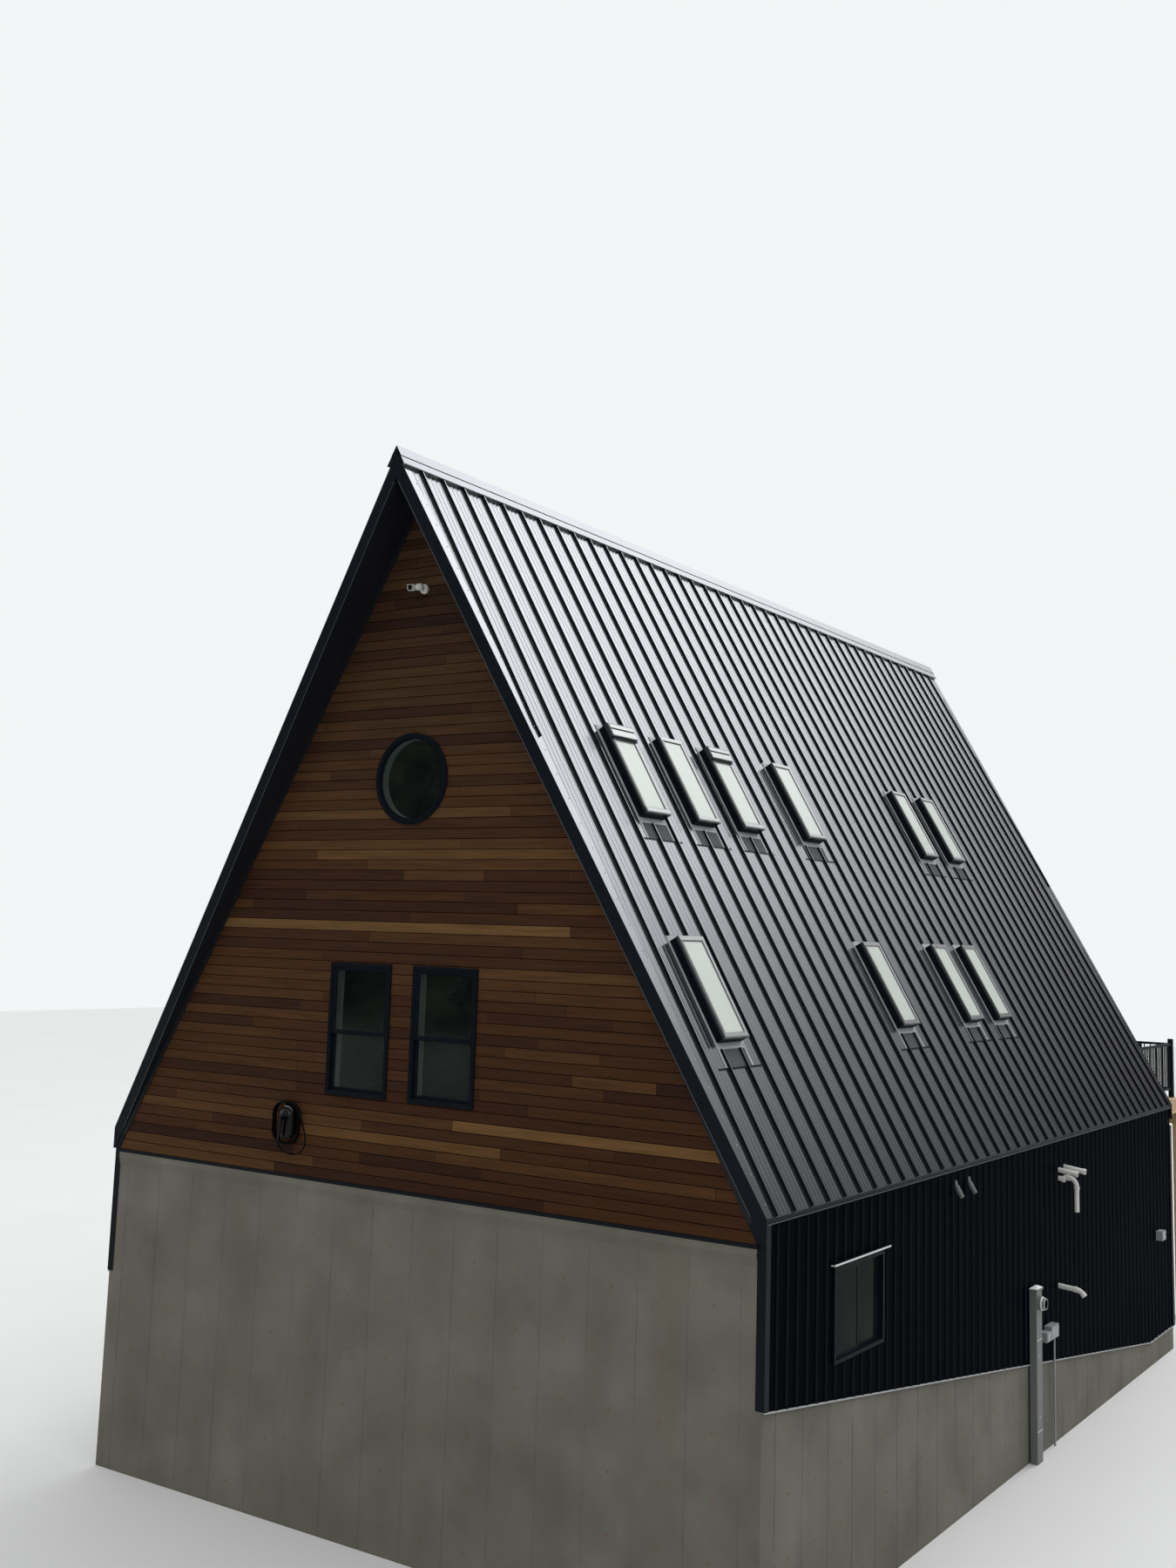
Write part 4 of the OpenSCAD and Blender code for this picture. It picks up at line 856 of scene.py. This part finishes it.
def panel_ribs():
    """The shallow waves rolled into each panel between its seams."""
    s = Shapes()
    profile = [(-0.026, -0.0006), (-0.014, 0.0022), (0.0, 0.0031), (0.014, 0.0022), (0.026, -0.0006)]
    for i in range(-1, SEAM_COUNT + 1):
        for k in range(1, WAVES + 1):
            y = FRONT_EAVE + SEAM_START + (i + k / (WAVES + 1)) * SEAM_PITCH
            for s0, s1 in slope_spans(y) if rake_front(0.3) + 0.15 < y < rake_rear(0.3) - 0.15 else []:
                for side in (1, -1):
                    s.loft([[on_slope(side, d, y + dy, n) for dy, n in profile] for d in (s0, s1)])
    waves = s.build("panel_ribs", ROOF, "charcoal_metal")
    # painted shade on the waves' flanks
    second_finish(waves.data, WAVE_SHADE, lambda n, c: abs(n.y) > 0.12)


def seam_folds():
    """The folded head of each standing seam, wider than its web."""
    s = Shapes()
    half = [(0.0095, 0.020), (0.0095, 0.032), (0.006, 0.0345)]
    profile = [(-dy, n) for dy, n in half] + half[::-1]
    for i in range(SEAM_COUNT):
        y = FRONT_EAVE + SEAM_START + i * SEAM_PITCH
        for s0, s1 in slope_spans(y):
            for side in (1, -1):
                s.loft([[on_slope(side, d, y + dy, n) for dy, n in profile] for d in (s0, s1 - 0.004)])
    folds = s.build("seam_folds", ROOF, "charcoal_metal")
    # painted shade on the sides of the seams' folds
    second_finish(folds.data, SEAM_SHADE, lambda n, c: abs(n.y) > 0.3)


def eave_edges():
    """The pale drip edge under the panels' hems, on both sides."""
    s = Shapes()
    for side in (1, -1):
        x0, x1 = sorted((side * (HALF - 0.012), side * (HALF - 0.002)))
        s.box((x0, FRONT_EAVE + 0.02, EAVE - 0.060), (x1, REAR_EAVE - 0.02, EAVE - 0.047), 0.001)
    s.build("drip_edges", HEM, "charcoal_metal")


def ridge_lines():
    """Painted shade in the joints along the ridge cap, under its cover strip and over its hem: dark strips.
    """
    s = Shapes()
    for side in (1, -1):
        for d in (0.0762, 0.192):
            y0, y1 = rake_front(d) + 0.002, rake_rear(d) - 0.002
            profile = [(d, 0.0385), (d + 0.011, 0.0385), (d + 0.010, 0.0408), (d + 0.001, 0.0408)]
            s.loft([[on_slope(side, a, y, n) for a, n in profile] for y in (y0, y1)])
    s.build("ridge_lines", SEAM_SHADE, "charcoal_metal")


def rake_hems():
    """The hemmed lower edge of each rake's fascia."""
    s = Shapes()
    profile = [(-0.001, -0.1555), (0.004, -0.1550), (0.004, -0.1450), (0.002, -0.1435), (-0.001, -0.1430)]
    for side in (1, -1):
        for line, out in ((rake_front, -1), (rake_rear, 1)):
            s.loft([[on_slope(side, d, line(d) + out * dy, n) for dy, n in profile]
                    for d in (0.32, SLOPE - 0.10)])
    s.build("rake_hems", HEM, "charcoal_metal")


def skylight_places():
    for side in (1, -1):
        for head, row in ((UPPER_ROW, UPPER), (LOWER_ROW, LOWER)):
            for i, middle in enumerate(row):
                yield side, head, FRONT_EAVE + middle, head == UPPER_ROW and i in VENTED


def skylight_details():
    """Curbs, beads, covers and flashings. A box runs down the slope, across it and up from the panels."""
    curbs, beads, pans, joints, aprons, covers = (Shapes() for _ in range(6))
    half, top, vent_top = SKY_W / 2, SKY_H, SKY_H + 0.028
    foot = SKY_L + FLASH_APRON
    # a mitred bead that slopes from the frame down to the glass
    bead = [(0.010, top - 0.002), (0.016, top + 0.006), (0.050, top + 0.002), (0.062, top - 0.010),
            (0.062, top - 0.016), (0.010, top - 0.004)]
    # the shape, the ends down the slope, half the width or both sides' places, the heights and the cut edge
    always = [
        (curbs, -0.003, SKY_L + 0.003, (half, half + 0.004), 0.004, 0.094, 0.001),
        (curbs, -0.004, 0.0, half + 0.003, 0.004, 0.094, 0.001),
        (curbs, SKY_L, SKY_L + 0.004, half + 0.003, 0.004, 0.094, 0.001),
        (aprons, -0.062, -0.004, (half + 0.006, half + 0.042), 0.005, 0.011, 0.002),
        (aprons, SKY_L + 0.006, foot - 0.002, half + 0.040, 0.005, 0.009, 0.002),
        (aprons, SKY_L + 0.040, SKY_L + 0.048, half + 0.035, 0.009, 0.014, 0.002),
        (pans, foot, foot + PAN_L, half + 0.004, 0.0, 0.0060, 0.001),
        (aprons, foot, foot + PAN_L, (half + 0.006, half + 0.044), 0.0, 0.0062, 0.001)]
    on_vented = [
        # a dark strip below the covers: painted shadow in the gap under the hood
        (curbs, 0.170, 0.206, half - 0.004, top + 0.001, top + 0.014, 0.001),
        (covers, 0.010, 0.062, half - 0.006, vent_top - 0.001, vent_top + 0.007, 0.003),
        (curbs, 0.064, 0.080, half - 0.002, vent_top - 0.001, vent_top + 0.001, 0.0005),
        (covers, 0.082, 0.168, half - 0.006, vent_top - 0.001, vent_top + 0.006, 0.003),
        (covers, SKY_L - 0.058, SKY_L - 0.004, half - 0.010, top + 0.009, top + 0.015, 0.004)]
    on_fixed = [
        (covers, -0.004, 0.050, half - 0.004, top - 0.001, top + 0.006, 0.004),
        (covers, SKY_L - 0.050, SKY_L - 0.004, half - 0.010, top - 0.001, top + 0.007, 0.005)]
    for side, head, y, vented in skylight_places():
        def at(p, side=side, head=head, y=y):
            return on_slope(side, head + p[0], y + p[1], p[2])

        beads.mitred((0, SKY_L), (-half, half), bead, at)
        for s, d0, d1, wide, n0, n1, edge in always + (on_vented if vented else on_fixed):
            pairs = ((-wide, wide),) if isinstance(wide, float) else (wide, (-wide[1], -wide[0]))
            for a, b in pairs:
                s.box((d0, a, n0), (d1, b, n1), edge, at=at)
        # the panels' joint below the pan reaches a little farther to the rear
        low, high = (foot + PAN_L, -half - 0.200, -0.001), (foot + PAN_L + 0.022, half + 0.210, 0.0066)
        joints.box(low, high, 0.001, at=at)
    # the curbs include the dark strip of painted shadow under the vented skylights' hoods
    curbs.build("skylight_curbs_and_gap_shade", FRAME, "dark_frame")
    covers.build("skylight_covers", SKY_COVER_AND_HIGHLIGHT, "dark_frame")
    rims = beads.build("skylight_beads", SKY_FRAME, "dark_frame")
    # painted highlight: the beads' faces square to the slope take the paler cover finish, their sides stay
    # darker
    second_finish(rims.data, SKY_COVER_AND_HIGHLIGHT, lambda n, c: square_to_slope(n) > 0.95)
    aprons.build("skylight_aprons", FLASHING, "charcoal_metal")
    pans.build("skylight_pans", DARK_PAN, "charcoal_metal")
    joints.build("panel_joints", TRIM, "charcoal_metal")


panel_ribs()
seam_folds()
eave_edges()
ridge_lines()
rake_hems()
skylight_details()


def deck_planks():
    """Deck boards with gaps between them, each row in two lengths."""
    rng = random.Random(5)
    s = Shapes()
    lo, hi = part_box("deck_boards")
    wide, gap = 0.140, 0.005
    count = round((hi.y - lo.y + gap) / (wide + gap))
    step = (hi.y - lo.y + gap) / count
    for i in range(count):
        y = lo.y + i * step
        cuts = [lo.x] + rng.sample((-2.64, -1.76, -0.88, 0.0, 0.88, 1.76, 2.64), 1) + [hi.x]
        for a, b in zip(cuts, cuts[1:]):
            s.box((a + 0.001, y, lo.z), (b - 0.001, y + step - gap, hi.z), 0.003, rng.random())
    s.build("deck_planks", DECK, "deck_timber", ["deck_boards"])


def window_places():
    """Each gable window's left and right edges, sill and head, and the map that puts it at either gable."""
    for at in (lambda p: (p[0], p[2], p[1]), lambda p: (p[0], rear_y(p[2]), p[1])):
        for x0, x1, z0, z1 in WINDOWS:
            yield (x0, x1), (z0, z1), at


def window_details():
    """Beads round frames and panes, the linings behind them, and the sashes' locks."""
    beads, linings, locks = Shapes(), Shapes(), Shapes()
    front, sash, lining = FRONT_FACE - 0.038, FRONT_FACE - 0.025, FRONT_FACE + 0.155
    rail, inset = 0.745, 0.045
    for u, v, at in window_places():
        beads.mitred(u, v, [(0.006, front - 0.001), (0.010, front - 0.004), (0.018, front - 0.004),
                            (0.022, front - 0.001)], at)
        beads.mitred(u, v, [(0.043, front + 0.003), (0.053, sash - 0.001), (0.053, sash + 0.004),
                            (0.043, sash + 0.004)], at)
        for low, high, y in ((v[0] + rail - 0.02, v[1] - inset, sash),
                             (v[0] + inset, v[0] + rail + 0.02, sash + 0.030)):
            beads.mitred((u[0] + inset, u[1] - inset), (low, high),
                         [(0.034, y - 0.001), (0.040, y - 0.001), (0.049, y + 0.008), (0.034, y + 0.008)], at)
        linings.mitred(u, v, [(0.045, sash + 0.062), (0.057, sash + 0.062), (0.057, lining), (0.001, lining),
                              (0.001, lining - 0.063), (0.045, lining - 0.063)], at)
        middle, top = (u[0] + u[1]) / 2, v[0] + rail + 0.018
        locks.box((middle - 0.03, top, sash + 0.028), (middle + 0.03, top + 0.012, sash + 0.05), 0.003, at=at)
        locks.box((middle - 0.008, top + 0.012, sash + 0.031), (middle + 0.034, top + 0.020, sash + 0.043),
                  0.003, at=at)
    for turn in (lambda y: y, rear_y):
        for s, profile in (
                (beads, ((-0.041, 0.545), (-0.046, 0.540), (-0.046, 0.514), (-0.041, 0.509))),
                (beads, ((-0.018, 0.492), (-0.018, 0.486), (-0.005, 0.476), (-0.005, 0.492))),
                (linings, ((0.010, 0.491), (0.010, 0.481), (0.112, 0.481), (0.112, 0.525), (0.092, 0.525),
                           (0.092, 0.491)))):
            s.turned(ROUND_AT, [(turn(FRONT_FACE + y), r) for y, r in profile])
    beads.build("window_beads", FRAME, "dark_frame")
    linings.build("window_linings", JAMB, "framing")
    locks.build("window_locks", FRAME, "dark_frame")


def siding_bottom(y):
    fall = min(1.0, max(0.0, (y - FRONT_EAVE) / (LEVEL_Y - FRONT_EAVE)))
    return SIDING_FRONT + (SIDING_REAR - SIDING_FRONT) * fall


def concrete_details():
    """The joints and tie ends that the forms left in the concrete, and the strip under the siding."""
    rng = random.Random(31)
    fins, ties, strip = Shapes(), Shapes(), Shapes()
    step, proud = 0.61, 0.004

    def wall(at, u0, u1, top):
        """Joints and ties of one wall: u runs along it, v up, w out of it."""
        count = int((u1 - u0) / step)
        start = (u0 + u1 - count * step) / 2
        for i in range(count + 1):
            u, z, high = start + i * step, 0.0, top(start + i * step) - 0.012
            while z < high:
                end = min(high, z + rng.uniform(0.5, 1.5))
                wide = rng.uniform(0.0025, 0.005)
                front = proud * rng.uniform(0.5, 1)
                fins.box((u - wide, z, -0.002), (u + wide, end - 0.004, front), 0.001, at=at)
                z = end + rng.choice((0, 0, 0.12))
            if i < count:
                for z in (0.30 + k * step for k in range(6)):
                    if z < high - 0.08:
                        a, b = at((u + step / 2, z, -0.002)), at((u + step / 2, z, 0.004))
                        ties.disc(a, b, [(0, 0.013), (0.7, 0.013), (1.0, 0.009)], 10)

    wall(lambda p: (p[0], FRONT_FACE - p[2], p[1]), -WALL_X, WALL_X, lambda u: BOARDS_LOW - 0.02)
    wall(lambda p: (p[0], REAR_FACE + p[2], p[1]), -WALL_X, WALL_X, lambda u: SIDING_REAR)
    for side in (1, -1):
        wall(lambda p: (side * (WALL_X + p[2]), p[0], p[1]), FRONT_FACE, REAR_FACE, siding_bottom)
    x0, x1 = WALL_X + 0.001, RIB_X + 0.004
    ring = [(x0, -0.002), (x1, -0.002), (x1, -0.014), (x1 - 0.003, -0.014), (x1 - 0.003, -0.006),
            (x0, -0.006)]
    for side in (1, -1):
        for ends in ((FRONT_FACE, LEVEL_Y), (LEVEL_Y, REAR_FACE)):
            strip.loft([[(side * x, y, siding_bottom(y) + z) for x, z in ring] for y in ends])
    fins.build("form_joints", CONCRETE, "concrete")
    ties.build("form_ties", TIE, "concrete")
    strip.build("siding_strip", FLASHING, "black_metal")


def camera_details():
    """The security camera: its base, neck, body in two parts, side arm and hood, and the lens."""
    s, lens = Shapes(), Shapes()

    def at(x, y, z):
        return (x, CORE_BACK + y, APEX - 1.576 + z)

    joint = at(0.012, -0.112, 0.006)
    s.disc(at(0.070, 0, -0.004), at(0.070, -0.034, -0.004),
           [(0, 0.060), (0.75, 0.060), (0.95, 0.054), (1, 0.046)], 40)
    s.disc(at(0.066, -0.030, -0.006), at(0.052, -0.080, 0.000),
           [(0, 0.020), (0.3, 0.030), (0.6, 0.034), (0.85, 0.030), (1, 0.016)], 28)
    s.disc(at(0.095, -0.072, 0.014), joint,
           [(0, 0.020), (0.08, 0.034), (0.25, 0.042), (0.75, 0.042), (0.93, 0.036), (1, 0.022)], 32)
    s.disc(joint, at(-0.080, -0.158, -0.004),
           [(0, 0.028), (0.08, 0.040), (0.7, 0.042), (0.9, 0.036), (1, 0.020)], 32)
    s.disc(at(-0.030, -0.130, 0.000), at(-0.018, -0.184, -0.010), [(0, 0.036), (0.85, 0.036), (1, 0.031)], 32)
    s.box(at(-0.066, -0.190, 0.024), at(0.022, -0.120, 0.030), 0.003)
    lens.disc(at(-0.0182, -0.183, -0.0098), at(-0.0178, -0.188, -0.0108),
              [(0, 0.032), (0.8, 0.032), (1, 0.028)], 28)
    s.build("camera_housing", WHITE, "white_plastic", ["security_camera"], smooth=True)
    lens.build("camera_lens", BLACK, "black_plastic", smooth=True)


def vent_details():
    """Black discs inside the ends of the vents and of the pipe that is cut square, as painted shade in their
    openings, and the vents' sleeves.
    """
    mouths, sleeves = Shapes(), Shapes()
    axis = Vector((math.sin(math.radians(150)), 0, math.cos(math.radians(150))))
    for y in (5.192, 5.649):
        foot = Vector((SHEET_X, FRONT_EAVE + y, EAVE - 0.215))
        end = foot + axis * 0.195
        mouths.disc(end - axis * 0.003, end + axis * 0.0004, [(0, 0.024), (1, 0.024)], 28)
        sleeves.disc(foot + axis * 0.050, foot + axis * 0.196,
                     [(0, 0.030), (0.04, 0.0335), (0.94, 0.0335), (1, 0.031)], 28)
    out, low = 0.190, EAVE - 0.620 - 0.480
    end = Vector((WALL_X + out, FRONT_EAVE + 9.650, low))
    mouths.disc(end + Vector((0, 0, 0.003)), end - Vector((0, 0, 0.0004)), [(0, 0.031), (1, 0.031)], 28)
    # painted shade inside the openings
    mouths.build("pipe_mouths_painted_shade", BLACK, "black_plastic")
    sleeves.build("vent_sleeves", VENT, "pale_metal")


def head_lips():
    """The lip of the strip over each sliding window, pale as a painted highlight."""
    s = Shapes()
    head = EAVE - 0.675
    low, high = head - 0.002, head + 0.0155
    reach, wide, start = 0.090, 1.316, FRONT_EAVE + 1.632
    for side in (1, -1):
        a, b = sorted((side * (WALL_X + 0.058), side * (WALL_X + 0.0695)))
        s.box((a, start - reach, low), (b, start + wide + reach, high), 0.001)
        a = side * 2.400 - wide / 2
        s.box((a - reach, REAR_FACE + 0.058, low), (a + wide + reach, REAR_FACE + 0.0695, high), 0.001)
    s.build("head_lips", PALE_PAINT_AND_HIGHLIGHT, "pale_metal")


def meter_details():
    """The meter's rims, its dial under the glass, and the seams and screws of its post's cover."""
    s, dial = Shapes(), Shapes()
    y, z = FRONT_EAVE + 7.970 + 0.115, EAVE - 2.140
    face = RIB_X + 0.100
    s.disc((face + 0.040, y, z), (face + 0.062, y, z),
           [(0, 0.094), (0.6, 0.094), (0.9, 0.090), (1.0, 0.079)], 48)
    s.disc((face + 0.086, y, z), (face + 0.0995, y, z), [(0, 0.080), (0.6, 0.080), (1.0, 0.074)], 48)
    dial.disc((face + 0.0985, y, z), (face + 0.1, y, z), [(0, 0.060), (1, 0.060)], 40)
    for seam in (0.42, 1.62):
        s.box((face, y - 0.112, seam), (face + 0.004, y + 0.112, seam + 0.008), 0.001)
    for screw in (0.60, 1.40):
        s.disc((face - 0.001, y, screw), (face + 0.006, y, screw), [(0, 0.010), (0.7, 0.010), (1, 0.006)], 12)
    s.build("meter_rims", PALE_PAINT_AND_HIGHLIGHT, "grey_enclosure")
    dial.build("meter_dial", BLACK, "black_plastic")


def service_lids():
    """The lids of the grey boxes, with a screw at either side."""
    s = Shapes()
    x, rim = RIB_X + 0.105, 0.006
    for start, drop, wide, high in ((8.600, 2.730, 0.320, 0.180), (8.395, 2.730, 0.200, 0.130),
                                    (14.743, 2.230, 0.230, 0.160)):
        y, z = FRONT_EAVE + start, EAVE - drop
        s.box((x - 0.002, y + rim, z + rim), (x + 0.008, y + wide - rim, z + high - rim), 0.004)
        middle = z + high / 2
        for u in (y + 0.022, y + wide - 0.022):
            s.disc((x + 0.006, u, middle), (x + 0.011, u, middle), [(0, 0.007), (1, 0.005)], 10)
    s.build("service_lids", GREY, "grey_enclosure")


def door_details():
    """The rear door's plate, lever and lock."""
    s = Shapes()
    x, y, z = DOOR[0] + 0.105, REAR_FACE - 0.005, DOOR[2] + 1.0
    lever = y + 0.048
    s.box((x - 0.022, y - 0.001, z - 0.12), (x + 0.022, y + 0.006, z + 0.12), 0.003)
    s.disc((x, y, z), (x, y + 0.05, z), [(0, 0.012), (0.7, 0.010), (1, 0.011)], 18)
    s.disc((x - 0.012, lever, z), (x + 0.115, lever, z),
           [(0, 0.008), (0.1, 0.010), (0.9, 0.009), (1, 0.006)], 16)
    s.disc((x, y, z + 0.085), (x, y + 0.016, z + 0.085), [(0, 0.017), (0.8, 0.017), (1, 0.012)], 20)
    s.build("door_handle", PALE_METAL, "pale_metal", smooth=True)


def rake_screws():
    """The screws along the rake trims' flanges."""
    s = Shapes()
    count, inset = 30, RAKE_FLANGE - 0.022
    for side in (1, -1):
        for k in range(count):
            d = 0.45 + k * (SLOPE - 0.6) / (count - 1)
            for y in (rake_front(d) + inset, rake_rear(d) - inset):
                a, b = on_slope(side, d, y, 0.004), on_slope(side, d, y, 0.010)
                s.disc(a, b, [(0, 0.008), (0.6, 0.008), (1, 0.004)], 8)
    s.build("rake_screws", FLASHING, "charcoal_metal")


deck_planks()
window_details()
concrete_details()
camera_details()
vent_details()
head_lips()
meter_details()
service_lids()
door_details()
rake_screws()


# brightness of the soft dome of light at heights above the horizon, in degrees
DOME = ((0, 0.035), (14, 0.045), (20, 0.08), (25, 0.50), (33, 0.88), (42, 1.0), (90, 0.55))
DOME_STRENGTH = 1.75
# the brighter part of the dome, behind the cabin: its direction and how it fades away from there
GLOW_AT = (0.10, 0.74, 0.66)
GLOW = ((0.86, 0.0), (0.94, 0.30), (1.0, 1.0))
GLOW_STRENGTH = 2.1


def make_world():
    """A plain pale background for the camera, and the dome with its glow as light and reflections."""
    world = bpy.data.worlds.new("world")
    bpy.context.scene.world = world
    world.use_nodes = True
    k = Nodes(world.node_tree)
    toward = k.node("TexCoord").outputs["Generated"]
    up = k.node("SeparateXYZ", {0: toward}).outputs["Z"]
    # from -1 and 1, straight down and up, to the ramp's 0 and 1
    rise = k.node("Math", {0: up, 1: 0.5, 2: 0.5}, operation="MULTIPLY_ADD").outputs[0]
    near = k.node("VectorMath", {0: toward, 1: Vector(GLOW_AT).normalized()}, operation="DOT_PRODUCT")
    dome = [((math.sin(math.radians(height)) + 1) / 2, level) for height, level in DOME]
    lights = []
    for value, steps, strength in ((rise, dome, DOME_STRENGTH), (near.outputs["Value"], GLOW, GLOW_STRENGTH)):
        colour = k.ramp(value, *((place, (level * 0.97, level * 0.985, level)) for place, level in steps))
        lights.append(k.node("Background", {"Color": colour, "Strength": strength}).outputs[0])
    both = k.node("AddShader", {0: lights[0], 1: lights[1]}).outputs[0]
    seen = k.node("Background", {"Color": (0.90, 0.91, 0.92), "Strength": 1.0}).outputs[0]
    camera_ray = k.node("LightPath").outputs["Is Camera Ray"]
    k.node("OutputWorld", {0: k.node("MixShader", {0: camera_ray, 1: both, 2: seen}).outputs[0]})


def make_floor():
    s = Shapes()
    s.box((-90, -70, -0.2), (90, 110, 0.0))
    mesh = bpy.data.meshes.new("floor")
    mesh.from_pydata(s.verts, [], s.faces)
    k = Look("floor_pale", 0.9)
    k.colour(k.mix(k.noise(0.4, 3), (0.60, 0.60, 0.59), (0.64, 0.64, 0.63)))
    mesh.materials.append(k.material)
    new_object("floor", mesh)


def make_lamp():
    """A large soft lamp high behind the cabin, which no surface mirrors."""
    data = bpy.data.lights.new("key", "AREA")
    data.shape = "DISK"
    data.size = 16
    data.energy = 5000
    lamp = new_object("key", data)
    lamp.location = (10, 40, 30)
    lamp.visible_glossy = False
    lamp.rotation_euler = (Vector((0, 8, 5)) - lamp.location).to_track_quat("-Z", "Y").to_euler()


make_world()
make_floor()
make_lamp()

bpy.context.scene.view_settings.view_transform = "Standard"
